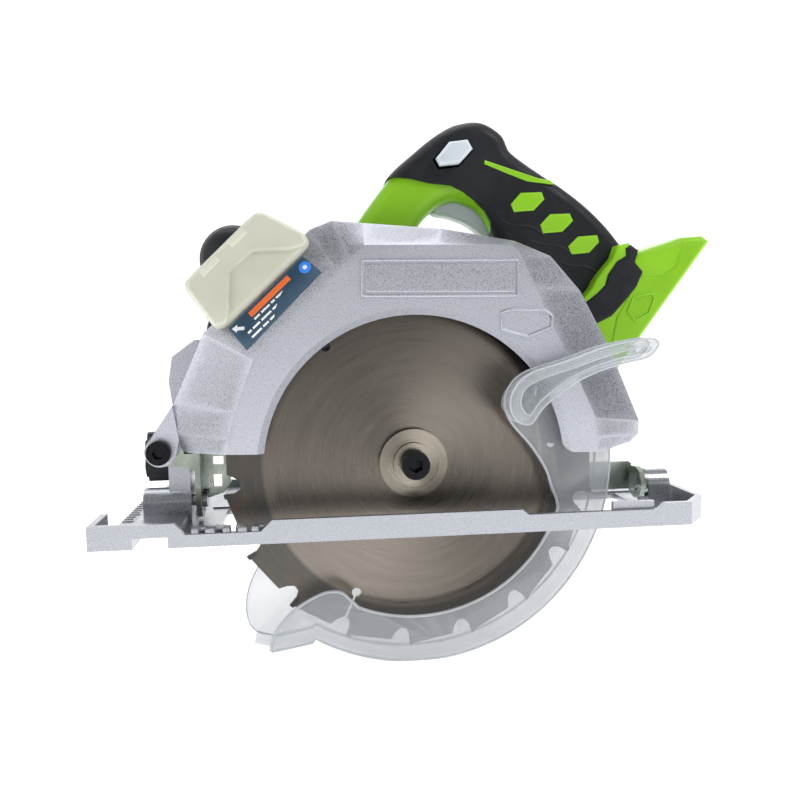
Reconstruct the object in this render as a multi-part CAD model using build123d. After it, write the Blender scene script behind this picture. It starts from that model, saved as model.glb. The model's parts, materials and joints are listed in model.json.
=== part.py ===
from build123d import *
from math import acos, cos, hypot, pi, radians, sin, tan
import os

# Cordless circular saw, millimetres.
# X runs from the front of the saw to its rear, Y from the blade side to the motor side, Z up.
# The origin is on the sole's underside, in the blade's plane, straight below the arbor.

# ---- driving dimensions -------------------------------------------------------------------
BLADE_R = 92.0            # 184 mm blade
BLADE_T = 1.6             # plate thickness
KERF = 2.4                # width of a carbide tip
TEETH = 18
BORE_R = 8.0
ARBOR_Z = 29.0            # arbor above the sole at full depth, so the blade reaches 63 mm below

PIVOT_X = -118.5          # depth pivot, axis along Y
PIVOT_Z = 38.6
BEVEL_Y = 8.0             # bevel axis, along X
BEVEL_Z = 12.8
ARM_Y0 = -8.5             # arm of the upper guard that carries the depth pivot
ARM_Y1 = -2.0
DEPTH_SWING = 30.0
BEVEL_SWING = 45.0

GUARD_FRONT_Y = -19.0     # flat face of the upper guard
GUARD_EDGE_Y = -7.0       # where its sloping facets meet the straight side wall
GUARD_BACK_Y = 14.0
GUARD_WALL = 3.0
OPENING_R = 71.0          # arc of the window in the upper guard
OPENING_BEVEL = 3.0       # bevel round the window's edge

LOWER_R = 95.5            # outside of the lower guard
LOWER_WALL = 1.8
LOWER_PLATE = 1.6         # thickness of its two side plates
LOWER_Y0 = -12.0
LOWER_Y1 = 8.7
BOSS_R = 18.5             # spindle boss that the lower guard turns on
HUB_CLEARANCE = 0.08

SOLE_X0 = -146.0
SOLE_X1 = 139.0
SOLE_Y0 = -34.0
SOLE_Y1 = 98.0
SOLE_T = 3.0
SLOT_X0 = -92.0
SLOT_X1 = 114.0
SLOT_Y0 = -20.0
SLOT_Y1 = 29.0
FENCE_X0 = -127.0         # channel for the rip fence's bar
FENCE_X1 = -112.0
FENCE_H = 4.8
RIM_H = 10.8              # height of the rim on the blade side
CLAMP_Y = 62.0            # place of the fence clamp screw

MODULE = 1.0              # gear module
GEAR_TEETH = 38
PINION_TEETH = 10
GEAR_Y0 = 19.0
GEAR_Y1 = 29.0
NOSE_Y1 = 28.0            # flat back of the gear case, where the handle seats
MOTOR_X = 0.0
MOTOR_Z = ARBOR_Z + MODULE * (GEAR_TEETH + PINION_TEETH) / 2
MOTOR_R = 34.0
MOTOR_Y0 = 41.0
MOTOR_Y1 = 120.0
END_CAP_Y = 128.0

HANDLE_Y = 45.0           # the plane where the two handle halves meet
GRIP_HALF = 17.0
PAD_T = 2.0
FOOT_HALF = 27.0
SHELL_T = 3.0
TRIGGER_PIVOT = (21.0, 164.0)
LOCK_BUTTON = (26.6, 182.4)
SHELL_SCREWS = [(-24, 134), (87, 153), (99, 137), (100, 80)]
FOOT_TOP = (161.5, 138.0)  # ends of the sloping face that takes the battery
FOOT_BOTTOM = (105.0, 62.0)
BAY_ENDS = (-40.0, 36.0)         # ends of the battery bay along the slope of the foot
BAY_HALF = 24.0                  # half width of the bay
BAY_FLOOR = -6.0                 # floor of the bay, below the sloping face
BAY_FLOOR_T = 2.0

QUADRANT_R = 170.0        # depth quadrant's slot, about the depth pivot
QUADRANT_HALF = 6.0
STRAP_Y0 = 16.0
PLATE_T = 2.5
CLAMP_ANGLE = 1.5         # place of the depth clamp on that arc, degrees above level

LOCK_R = 27.0             # bevel quadrant's slot, about the bevel axis
LOCK_ANGLE = 45.0

parts = {}


# ---- helpers ------------------------------------------------------------------------------
def outline(points, y):
    """A flat face at height y from (x, z) points."""
    return make_face(Polyline(*[(x, y, z) for x, z in points], close=True))


def slab(points, y0, y1):
    """The (x, z) outline, thick from y0 to y1."""
    return extrude(outline(points, y0), amount=y1 - y0, dir=(0, 1, 0))


def side_slab(points, x0, x1):
    """The (y, z) outline, thick from x0 to x1."""
    face = make_face(Polyline(*[(x0, y, z) for y, z in points], close=True))
    return extrude(face, amount=x1 - x0, dir=(1, 0, 0))


def plan_slab(points, z0, z1):
    """The (x, y) outline, thick from z0 to z1."""
    face = make_face(Polyline(*[(x, y, z0) for x, y in points], close=True))
    return extrude(face, amount=z1 - z0, dir=(0, 0, 1))


def rod(x, z, r, y0, y1):
    """A round bar along Y."""
    return Solid.make_cylinder(r, y1 - y0, Plane(origin=(x, y0, z), z_dir=(0, 1, 0)))


def rod_x(y, z, r, x0, x1):
    """A round bar along X."""
    return Solid.make_cylinder(r, x1 - x0, Plane(origin=(x0, y, z), z_dir=(1, 0, 0)))


def rod_z(x, y, r, z0, z1):
    """A round bar along Z."""
    return Solid.make_cylinder(r, z1 - z0, Plane(origin=(x, y, z0), z_dir=(0, 0, 1)))


def tube(x, z, r_out, r_in, y0, y1):
    """A ring or sleeve along Y."""
    return rod(x, z, r_out, y0, y1) - rod(x, z, r_in, y0 - 1, y1 + 1)


def block(x, y, z):
    """A box from three (low, high) pairs."""
    size = [high - low for low, high in (x, y, z)]
    return Pos(x[0], y[0], z[0]) * Box(*size, align=(Align.MIN, Align.MIN, Align.MIN))


def polar(cx, cz, r, angle):
    """The (x, z) point at a radius and angle, in degrees from +X towards +Z."""
    return (cx + r * cos(radians(angle)), cz + r * sin(radians(angle)))


def sector(cx, cz, r_in, r_out, a0, a1, y0, y1):
    """Part of a flat ring in the XZ plane, from angle a0 to a1."""
    mid = (a0 + a1) / 2
    outer = ThreePointArc(*[(p[0], y0, p[1]) for p in (polar(cx, cz, r_out, a) for a in (a0, mid, a1))])
    inner = ThreePointArc(*[(p[0], y0, p[1]) for p in (polar(cx, cz, r_in, a) for a in (a1, mid, a0))])
    face = make_face([outer, Line(outer @ 1, inner @ 0), inner, Line(inner @ 1, outer @ 0)])
    return extrude(face, amount=y1 - y0, dir=(0, 1, 0))


def arc_slot(cx, cz, r, half, a0, a1, y0, y1):
    """A slot with round ends that follows an arc in the XZ plane."""
    cut = sector(cx, cz, r - half, r + half, a0, a1, y0, y1)
    for angle in (a0, a1):
        cut += rod(*polar(cx, cz, r, angle), half, y0, y1)
    return cut


def scaled(points, k):
    """The outline, shrunk towards the arbor."""
    return [(x * k, ARBOR_Z + (z - ARBOR_Z) * k) for x, z in points]


def blend(a, b, t):
    """Each point of outline a, moved by the share t towards outline b."""
    return [(p[0] + (q[0] - p[0]) * t, p[1] + (q[1] - p[1]) * t) for p, q in zip(a, b)]


def spur_gear(cx, cz, teeth, y0, y1, phase, backlash):
    """An involute spur gear along Y; phase turns it, in teeth, from a tooth that points along +Z."""
    pitch_r = MODULE * teeth / 2
    base_r = pitch_r * cos(radians(20))
    tip_r = pitch_r + 0.9 * MODULE
    root_r = pitch_r - 1.15 * MODULE
    involute = tan(radians(20)) - radians(20)
    half_tooth = pi / (2 * teeth) - backlash / (2 * pitch_r)

    def half_angle(r):
        pressure = acos(min(1.0, base_r / r))
        return half_tooth + involute - (tan(pressure) - pressure)

    radii = [max(base_r, root_r + 0.2), pitch_r, tip_r]
    points = []
    for i in range(teeth):
        middle = pi / 2 + 2 * pi * (i + phase) / teeth
        points.append((root_r, middle - half_angle(radii[0])))
        points += [(r, middle - half_angle(r)) for r in radii]
        points += [(r, middle + half_angle(r)) for r in reversed(radii)]
        points.append((root_r, middle + half_angle(radii[0])))
    return slab([(cx + r * cos(a), cz + r * sin(a)) for r, a in points], y0, y1)


# ---- blade, flanges and spindle -----------------------------------------------------------
def build_blade():
    pitch = 360 / TEETH
    shoulder_r = BLADE_R - 2.6
    gullet_r = 83.2
    seat_r = BLADE_R - 4.9
    hole_r = 70.0            # circle of the small round holes that end the expansion slots
    # A gullet opens ahead of each tip; tips face clockwise as seen from the blade side.
    points = []
    first = 138.5 + 90
    for i in range(TEETH):
        face = first + i * pitch
        points.append(polar(0, ARBOR_Z, BLADE_R - 0.8, face + 0.25))
        points.append(polar(0, ARBOR_Z, shoulder_r, face + 13.6))
        points.append(polar(0, ARBOR_Z, gullet_r + 2.4, face + 14.9))
        points.append(polar(0, ARBOR_Z, gullet_r, face + 16.6))
        points.append(polar(0, ARBOR_Z, gullet_r + 0.6, face + 18.6))
        points.append(polar(0, ARBOR_Z, gullet_r + 3.6, face + 19.6))
    blade = slab(points, -BLADE_T / 2, BLADE_T / 2)
    blade -= rod(0, ARBOR_Z, BORE_R, -2, 2)
    tips = []
    for i in range(TEETH):
        face = first + i * pitch
        seat = [
            polar(0, ARBOR_Z, seat_r, face - 0.35),
            polar(0, ARBOR_Z, BLADE_R, face - 0.35),
            polar(0, ARBOR_Z, BLADE_R - 0.2, face + 1.0),
            polar(0, ARBOR_Z, seat_r, face + 0.8),
        ]
        blade -= slab(seat, -2, 2)
        tips.append(slab(seat, -KERF / 2, KERF / 2))
    for i in range(3):
        angle = first + 17.3 + i * 120
        blade -= rod(*polar(0, ARBOR_Z, hole_r, angle), 2.3, -2, 2)
        blade -= slab([
            polar(0, ARBOR_Z, hole_r, angle - 0.5),
            polar(0, ARBOR_Z, gullet_r + 2, angle - 0.4),
            polar(0, ARBOR_Z, gullet_r + 2, angle + 0.4),
            polar(0, ARBOR_Z, hole_r, angle + 0.5),
        ], -2, 2)
    parts["saw_blade"] = blade
    parts["carbide_tips"] = Compound(children=tips)


def build_spindle():
    flange = tube(0, ARBOR_Z, 16.5, 4.1, -5.2, -BLADE_T / 2)
    flange += tube(0, ARBOR_Z, 10.0, 4.1, -7.0, -5.2)
    flange -= tube(0, ARBOR_Z, 12.2, 11.2, -5.7, -4.8)
    parts["outer_flange"] = chamfer(flange.edges().filter_by(GeomType.CIRCLE).sort_by(Axis.Y)[0:1], 0.5)
    inner = tube(0, ARBOR_Z, 16.5, 6.0, BLADE_T / 2, 4.2)
    inner += tube(0, ARBOR_Z, BORE_R - 0.03, 6.0, -0.6, BLADE_T / 2)
    parts["inner_flange"] = inner
    bolt = rod(0, ARBOR_Z, 4.0, -7.0, 12.0) + rod(0, ARBOR_Z, 6.8, -14.0, -7.0)
    hexagon = [polar(0, ARBOR_Z, 3.6, 60 * i + 30) for i in range(6)]
    parts["blade_bolt"] = bolt - slab(hexagon, -14.5, -9.5)
    spindle = rod(0, ARBOR_Z, 6.0, -0.6, 30.0) + rod(0, ARBOR_Z, 4.0, 30.0, 38.0)
    spindle += rod(0, ARBOR_Z, 8.0, 17.0, GEAR_Y0)
    parts["spindle"] = spindle - rod(0, ARBOR_Z, 4.0, -1.0, 12.0)
    gear = spur_gear(0, ARBOR_Z, GEAR_TEETH, GEAR_Y0, GEAR_Y1, 0.5, 0.12)
    parts["drive_gear"] = gear - rod(0, ARBOR_Z, 6.0, GEAR_Y0 - 1, GEAR_Y1 + 1)
    parts["spindle_bearing_front"] = tube(0, ARBOR_Z, 16.0, 6.0, 7.0, 17.0)
    parts["spindle_bearing_rear"] = tube(0, ARBOR_Z, 9.0, 4.0, 31.0, 37.0)


# ---- upper guard and gear housing ---------------------------------------------------------
GUARD_EDGE = [(-108, 38), (-113, 47), (-111.5, 61), (-97, 93), (-47, 140), (-37, 144), (-22, 143),
              (15, 140.3), (50, 134.5), (67.5, 127.3), (82.3, 110.5), (97, 83), (112.5, 46.5),
              (112, 40), (105, 33.5)]
GUARD_FACE = [(-87.7, 38), (-86, 45), (-83, 57), (-74, 80.6), (-35.3, 119.1), (-29, 125.5), (-22.9, 131.6),
              (10, 131.6), (45, 131.3), (50.3, 126.2), (56.4, 111.9), (73.3, 77.6), (86, 50),
              (87, 41), (86, 33.5)]


def open_below(points):
    """The same outline with its two bottom corners drawn far down."""
    return [(points[0][0], -40.0)] + points[1:-1] + [(points[-1][0], -40.0)]


def build_upper_guard():
    front = loft([outline(GUARD_EDGE, GUARD_EDGE_Y), outline(GUARD_FACE, GUARD_FRONT_Y)], ruled=True)
    guard = front + slab(GUARD_EDGE, GUARD_EDGE_Y, GUARD_BACK_Y)
    inner_y = GUARD_FRONT_Y + GUARD_WALL
    inner_back = GUARD_BACK_Y - 2.5
    share = (GUARD_EDGE_Y - inner_y) / (GUARD_EDGE_Y - GUARD_FRONT_Y)
    shrink = 0.965           # leaves a wall of about GUARD_WALL round the outside
    edge = open_below(scaled(GUARD_EDGE, shrink))
    face = open_below(scaled(blend(GUARD_EDGE, GUARD_FACE, share), shrink))
    guard -= loft([outline(edge, GUARD_EDGE_Y), outline(face, inner_y)], ruled=True)
    guard -= slab(edge, GUARD_EDGE_Y, inner_back)
    # window over the blade, with a bevelled edge and a rounded corner at the rear
    guard -= rod(0, ARBOR_Z, OPENING_R, GUARD_FRONT_Y - 1, GUARD_FRONT_Y + 6)
    mouth = Plane(origin=(0, GUARD_FRONT_Y + OPENING_BEVEL, ARBOR_Z), z_dir=(0, -1, 0))
    guard -= Solid.make_cone(OPENING_R, OPENING_R + OPENING_BEVEL, OPENING_BEVEL, mouth)
    corner = block((68, 77), (GUARD_FRONT_Y - 1, GUARD_FRONT_Y + 6), (32, 40.5))
    guard -= corner - rod(77, 40.5, 7.0, GUARD_FRONT_Y - 2, GUARD_FRONT_Y + 7)
    # spindle boss on the back wall, with the bearing's seat and the circlip's groove
    guard += rod(0, ARBOR_Z, 22.0, inner_back, GUARD_BACK_Y)
    guard += rod(0, ARBOR_Z, BOSS_R, 4.6, 12.0)
    guard -= tube(0, ARBOR_Z, BOSS_R + 1, 17.6, 5.2, 6.0)
    guard -= rod(0, ARBOR_Z, 16.0, 7.0, 16.0)
    guard -= rod(0, ARBOR_Z, 14.0, 4.0, 8.0)
    # the quadrant of the base stands beside the pivot, so the side wall is cut back there
    guard -= rod(PIVOT_X, PIVOT_Z, 17.5, ARM_Y1, GUARD_BACK_Y + 1)
    # depth pivot's arm and boss at the front
    arm = [(-112, 60), (-109.5, 44), (-111.5, 36), (-117, 32), (-124, 36), (-125.3, 40), (-121, 47)]
    guard += slab(arm, ARM_Y0, ARM_Y1) + rod(PIVOT_X, PIVOT_Z, 7.0, ARM_Y0, ARM_Y1)
    guard -= rod(PIVOT_X, PIVOT_Z, 3.0, ARM_Y0 - 1, ARM_Y1 + 1)
    # pad for the depth clamp's bolt
    clamp = polar(PIVOT_X, PIVOT_Z, QUADRANT_R, CLAMP_ANGLE)
    guard += rod(*clamp, 7.0, 12.0, STRAP_Y0 - 0.3)
    guard -= rod(*clamp, 3.0, 10.0, STRAP_Y0 + 1)
    parts["upper_guard"] = guard


def build_guard_fittings():
    parts["guard_circlip"] = tube(0, ARBOR_Z, 20.4, 17.6, 5.2, 6.0)
    parts["guard_stop"] = rod(*polar(0, ARBOR_Z, 90.0, 172.5), 3.0, 9.0, 11.5)
    screw = rod(PIVOT_X, PIVOT_Z, 5.6, ARM_Y0 - 4.0, ARM_Y0) + rod(PIVOT_X, PIVOT_Z, 2.95, ARM_Y0, 0.8)
    hexagon = [polar(PIVOT_X, PIVOT_Z, 2.9, 60 * i) for i in range(6)]
    parts["depth_pivot_screw"] = screw - slab(hexagon, ARM_Y0 - 4.5, ARM_Y0 - 1.5)


def build_gear_housing():
    case = rod(0, ARBOR_Z, 22.8, GUARD_BACK_Y, MOTOR_Y0) + rod(MOTOR_X, MOTOR_Z, 33.0, GUARD_BACK_Y, MOTOR_Y0)
    nose = [(-104, 48), (-115.5, 58), (-117, 70), (-115, 82), (-104, 90), (-70, 90), (-20, 72), (-20, 40)]
    case += slab(nose, GUARD_BACK_Y, NOSE_Y1)
    # neck that carries the handle, in front of the finger gap
    case += slab([(-20, 70), (-36, 96), (-20, 112), (4, 112), (20, 70)], 19.0, NOSE_Y1)
    hollow = rod(0, ARBOR_Z, 20.6, GUARD_BACK_Y - 1, 30.0) + rod(MOTOR_X, MOTOR_Z, 14.0, 17.5, 32.0)
    case -= hollow
    case -= slab([(-101, 56), (-110, 62), (-111, 76), (-101, 83), (-62, 81), (-36, 70), (-36, 56)], 17.0, 25.0)
    case -= rod(0, ARBOR_Z, 9.0, 29.0, 37.0)
    case -= rod(0, ARBOR_Z, 4.3, 36.0, 38.5)
    case -= rod(MOTOR_X, MOTOR_Z, 9.0, 33.0, 39.0)
    case -= rod(MOTOR_X, MOTOR_Z, 7.0, 30.0, MOTOR_Y0 + 1)
    case -= rod_x(24.0, ARBOR_Z, 3.1, -40.0, -18.0)
    parts["gear_housing"] = case
    screws = [rod(x, z, 3.6, NOSE_Y1, NOSE_Y1 + 3) for x, z in ((-98, 55), (-106, 83), (-66, 82), (-50, 54))]
    parts["gear_case_screws"] = Compound(children=screws)


# ---- motor --------------------------------------------------------------------------------
def build_motor():
    case = tube(MOTOR_X, MOTOR_Z, MOTOR_R, MOTOR_R - SHELL_T, MOTOR_Y0, MOTOR_Y1)
    for i in range(-3, 4):
        vent = block((-60, 60), (MOTOR_Y0 + 4, MOTOR_Y0 + 12), (MOTOR_Z + 6 * i - 1.2, MOTOR_Z + 6 * i + 1.2))
        case -= vent
    parts["motor_housing"] = case
    cap = rod(MOTOR_X, MOTOR_Z, MOTOR_R, MOTOR_Y1, END_CAP_Y)
    cap = chamfer(cap.edges().filter_by(GeomType.CIRCLE).sort_by(Axis.Y)[-1:], 4.0)
    cap -= rod(MOTOR_X, MOTOR_Z, MOTOR_R - 4.5, MOTOR_Y1 - 1, END_CAP_Y - 3)
    seat = tube(MOTOR_X, MOTOR_Z, 13.0, 9.0, MOTOR_Y1 - 6, END_CAP_Y - 2)
    cap += seat
    for i in range(8):
        angle = 45 * i + 22.5
        cap -= arc_slot(MOTOR_X, MOTOR_Z, 22.0, 1.6, angle - 14, angle + 14, END_CAP_Y - 5, END_CAP_Y + 1)
    screws = []
    for angle in (45, 135, 225, 315):
        spot = polar(MOTOR_X, MOTOR_Z, 27.5, angle)
        cap -= rod(*spot, 2.6, END_CAP_Y - 3, END_CAP_Y + 1)
        screws.append(rod(*spot, 2.6, END_CAP_Y - 3, END_CAP_Y - 0.6))
    parts["motor_end_cap"] = cap
    parts["end_cap_screws"] = Compound(children=screws)


def build_motor_inside():
    parts["stator"] = tube(MOTOR_X, MOTOR_Z, MOTOR_R - SHELL_T, 21.0, 58.0, 98.0)
    shaft = rod(MOTOR_X, MOTOR_Z, 4.0, 30.0, 124.0) + rod(MOTOR_X, MOTOR_Z, 2.5, GEAR_Y0 - 1, 30.0)
    parts["rotor_shaft"] = shaft
    pinion = spur_gear(MOTOR_X, MOTOR_Z, PINION_TEETH, GEAR_Y0, GEAR_Y1, 0.0, 0.12)
    parts["pinion"] = pinion - rod(MOTOR_X, MOTOR_Z, 2.5, GEAR_Y0 - 1, GEAR_Y1 + 1)
    parts["armature"] = tube(MOTOR_X, MOTOR_Z, 20.3, 4.0, 58.0, 98.0)
    parts["commutator"] = tube(MOTOR_X, MOTOR_Z, 9.5, 4.0, 100.0, 111.0)
    fan = tube(MOTOR_X, MOTOR_Z, 8.0, 4.0, 45.0, 55.0) + tube(MOTOR_X, MOTOR_Z, 27.0, 7.0, 53.5, 55.0)
    for i in range(12):
        blade = block((MOTOR_X + 7, MOTOR_X + 26.5), (46.0, 54.0), (MOTOR_Z - 0.7, MOTOR_Z + 0.7))
        fan += blade.rotate(Axis((MOTOR_X, 0, MOTOR_Z), (0, 1, 0)), 30 * i)
    parts["cooling_fan"] = fan
    parts["rotor_bearing_front"] = tube(MOTOR_X, MOTOR_Z, 9.0, 4.0, 33.0, 39.0)
    parts["rotor_bearing_rear"] = tube(MOTOR_X, MOTOR_Z, 9.0, 4.0, 117.0, 123.0)
    brushes = []
    holders = []
    for side in (-1, 1):
        x0, x1 = sorted((side * 9.9, side * 18.0))
        brushes.append(block((x0, x1), (102.5, 108.5), (MOTOR_Z - 3, MOTOR_Z + 3)))
        h0, h1 = sorted((side * 12.0, side * (MOTOR_R - SHELL_T - 0.6)))
        holder = block((h0, h1), (100.5, 110.5), (MOTOR_Z - 5, MOTOR_Z + 5))
        b0, b1 = sorted((side * 11.0, side * 18.0))
        holders.append(holder - block((b0, b1), (102.5, 108.5), (MOTOR_Z - 3, MOTOR_Z + 3)))
    parts["carbon_brushes"] = Compound(children=brushes)
    parts["brush_holders"] = Compound(children=holders)


# ---- handle -------------------------------------------------------------------------------
HANDLE_OUTER = [(-45, 84), (-43, 104), (-36.3, 127), (-21.2, 150.4), (-14.5, 159.5), (-3.6, 173.2),
                (7.6, 183), (20.3, 192.8), (30.3, 197.7), (42.5, 198.7), (52.8, 192.8), (57.7, 184),
                (74.7, 172.3), (85, 166), (98.2, 156.2), (109.4, 145.6), (117.4, 136), (134, 134.8),
                (146, 138.6), (157, 140), FOOT_TOP, FOOT_BOTTOM, (92, 58), (64, 62), (40, 68), (30, 78)]
FINGER_GAP = [(4.8, 107.6), (3, 123), (7.8, 144), (15.6, 153.7), (22.5, 158), (30.3, 159.2), (40.6, 154.6),
              (47, 145), (54, 129), (65.5, 114.5), (81, 102), (91, 88), (70, 82), (38, 88), (18.5, 96)]


def handle_half(y0, y1, cavity_y0, cavity_y1):
    ring = outline(HANDLE_OUTER, y0) - outline(FINGER_GAP, y0)
    half = extrude(ring, amount=y1 - y0, dir=(0, 1, 0))
    inside = offset(outline(HANDLE_OUTER, cavity_y0), -SHELL_T) - offset(outline(FINGER_GAP, cavity_y0), SHELL_T)
    return half - extrude(inside, amount=cavity_y1 - cavity_y0, dir=(0, 1, 0))


def build_handle():
    near = HANDLE_Y - GRIP_HALF
    far = HANDLE_Y + GRIP_HALF
    left = handle_half(near, HANDLE_Y, near + SHELL_T, HANDLE_Y + 1)
    right = handle_half(HANDLE_Y, far, HANDLE_Y - 1, far - SHELL_T)
    # the battery foot is wider than the grip
    foot = [(117, 131), (134, 134.8), (146, 138.6), (157, 140), FOOT_TOP, FOOT_BOTTOM, (92, 63), (95, 86),
            (106, 104)]
    foot_in = [(122, 128), (146, 134.5), (154, 135.5), (103, 67), (97, 68), (100, 86), (110, 102)]
    left += slab(foot, HANDLE_Y - FOOT_HALF, near) - slab(foot_in, HANDLE_Y - FOOT_HALF + SHELL_T, near + 1)
    left -= slab(foot_in, near - 1, near + SHELL_T + 1)
    right += slab(foot, far, HANDLE_Y + FOOT_HALF) - slab(foot_in, far - 1, HANDLE_Y + FOOT_HALF - SHELL_T)
    right -= slab(foot_in, far - SHELL_T - 1, far + 1)
    # both halves wrap the motor housing
    collar = [(-45, 84), (-36, 70), (-34.5, 60), (34.5, 60), (40, 68), (30, 78)]
    left += slab(collar, MOTOR_Y0, HANDLE_Y) + slab(collar, HANDLE_Y - 4, HANDLE_Y)
    right += slab(collar, HANDLE_Y, far)
    # slot for the trigger, which swings up into the grip
    tx, tz = TRIGGER_PIVOT
    mouth = [(13, 150), (15, 170), (34, 174), (60, 158), (68, 128), (50, 118), (44, 142), (30, 152)]
    trigger_room = slab(mouth, HANDLE_Y - 7.5, HANDLE_Y + 7.5)
    # cross hole for the lock-off button
    bx, bz = LOCK_BUTTON
    cross = rod(bx, bz, 5.2, near - 3, far + 3)
    bore = rod(MOTOR_X, MOTOR_Z, MOTOR_R, 0, 200)
    screws = []
    for x, z in SHELL_SCREWS:
        left += rod(x, z, 4.0, near + 1, HANDLE_Y)
        right += rod(x, z, 5.0, HANDLE_Y, far - 1)
        hole = rod(x, z, 1.6, HANDLE_Y - 12, far - 3) + rod(x, z, 3.0, far - 3, far + 20)
        left -= hole
        right -= hole
        screws.append(rod(x, z, 1.6, HANDLE_Y - 12, far - 3) + rod(x, z, 3.0, far - 3, far - 0.6))
    parts["shell_screws"] = Compound(children=screws)
    # open bay for the battery in the foot's sloping face
    bay = slope_block(*BAY_ENDS, BAY_FLOOR - BAY_FLOOR_T, 12, HANDLE_Y - BAY_HALF, HANDLE_Y + BAY_HALF)
    for name, half in (("handle_shell_left", left), ("handle_shell_right", right)):
        parts[name] = half - trigger_room - cross - bore - bay
    parts["trigger_pin"] = rod(tx, tz, 2.0, HANDLE_Y - 11, HANDLE_Y + 11)
    pad = [(-2, 172.6), (7.6, 182), (20.3, 191.8), (30.3, 196.7), (42.5, 197.7), (52, 192.2), (57.2, 183.5),
           (74.7, 171.3), (85, 165), (98, 155.4), (109, 145), (116.5, 135.8), (115.8, 131.8), (104.6, 104.4),
           (97, 92), (95, 92), (84, 104.5), (68, 117), (57, 131), (50, 146), (46, 157), (35, 167), (21, 167)]
    for name, y0 in (("grip_pad_left", near - PAD_T), ("grip_pad_right", far)):
        skin = slab(pad, y0, y0 + PAD_T) - rod(bx, bz, 9.0, y0 - 1, y0 + PAD_T + 1)
        for x, z in SHELL_SCREWS[1:3]:
            skin -= rod(x, z, 3.0, y0 - 1, y0 + PAD_T + 1)
        parts[name] = skin


def build_controls():
    tx, tz = TRIGGER_PIVOT
    blade = [(17, 159), (16.5, 165), (21, 168.5), (34, 167.5), (47, 158), (54, 146), (58, 130), (53, 127),
             (47, 139), (38, 148), (27, 152.5), (19, 154)]
    parts["trigger"] = slab(blade, HANDLE_Y - 6.5, HANDLE_Y + 6.5) - rod(tx, tz, 2.05, 0, 90)
    bx, bz = LOCK_BUTTON
    near = HANDLE_Y - GRIP_HALF - PAD_T
    far = HANDLE_Y + GRIP_HALF + PAD_T
    button = rod(bx, bz, 5.12, near - 1.5, far - 2)
    shape = [(-8.2, -1.5), (-4.6, 5.2), (4.4, 5.2), (8.2, 1.2), (4.6, -5.2), (-4.4, -5.2)]
    cap = [(bx + u, bz + w) for u, w in shape]
    button += slab(cap, near - 5.5, near - 1.5) + slab(cap, far - 2, far + 0.5)
    parts["lock_off_button"] = button
    switch = slab([(60, 148), (64, 160), (90, 141), (83, 124)], HANDLE_Y - 9, HANDLE_Y + 9)
    parts["trigger_switch"] = switch
    key = rod_x(24.0, ARBOR_Z, 3.0, -36.0, -24.2) + rod_x(24.0, ARBOR_Z, 6.0, -38.0, -34.0)
    parts["spindle_lock_button"] = key


def foot_slope(s, t):
    """The point s up the foot's sloping face from its middle, and t out of the face."""
    length = hypot(FOOT_TOP[0] - FOOT_BOTTOM[0], FOOT_TOP[1] - FOOT_BOTTOM[1])
    ux, uz = (FOOT_TOP[0] - FOOT_BOTTOM[0]) / length, (FOOT_TOP[1] - FOOT_BOTTOM[1]) / length
    cx, cz = (FOOT_TOP[0] + FOOT_BOTTOM[0]) / 2, (FOOT_TOP[1] + FOOT_BOTTOM[1]) / 2
    return (cx + ux * s + uz * t, cz + uz * s - ux * t)


def slope_block(s0, s1, t0, t1, y0, y1):
    """A block lined up with the foot's sloping face."""
    corners = [foot_slope(s0, t0), foot_slope(s1, t0), foot_slope(s1, t1), foot_slope(s0, t1)]
    return slab(corners, y0, y1)


def build_battery_seat():
    """Floor, rails and contacts, sunk in the bay of the foot's sloping face."""
    low, high = BAY_ENDS
    floor_t = BAY_FLOOR - BAY_FLOOR_T
    near_wall, far_wall = HANDLE_Y - BAY_HALF, HANDLE_Y + BAY_HALF
    near_rail = slope_block(low, high, BAY_FLOOR, -1, near_wall, near_wall + 4)
    near_rail += slope_block(low, high, -3, -1, near_wall + 4, near_wall + 8)
    far_rail = slope_block(low, high, BAY_FLOOR, -1, far_wall - 4, far_wall)
    far_rail += slope_block(low, high, -3, -1, far_wall - 8, far_wall - 4)
    parts["battery_rails"] = Compound(children=[near_rail, far_rail])
    bed = slope_block(low, high, floor_t, BAY_FLOOR, near_wall, far_wall)
    bed += slope_block(14, high, BAY_FLOOR, -1, HANDLE_Y - 13, HANDLE_Y + 13)
    parts["terminal_block"] = bed
    contacts = []
    for k in range(4):
        y0 = HANDLE_Y - 10.5 + 6 * k
        contacts.append(slope_block(-2, 14, BAY_FLOOR, -2, y0, y0 + 1))
    parts["battery_contacts"] = Compound(children=contacts)


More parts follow.
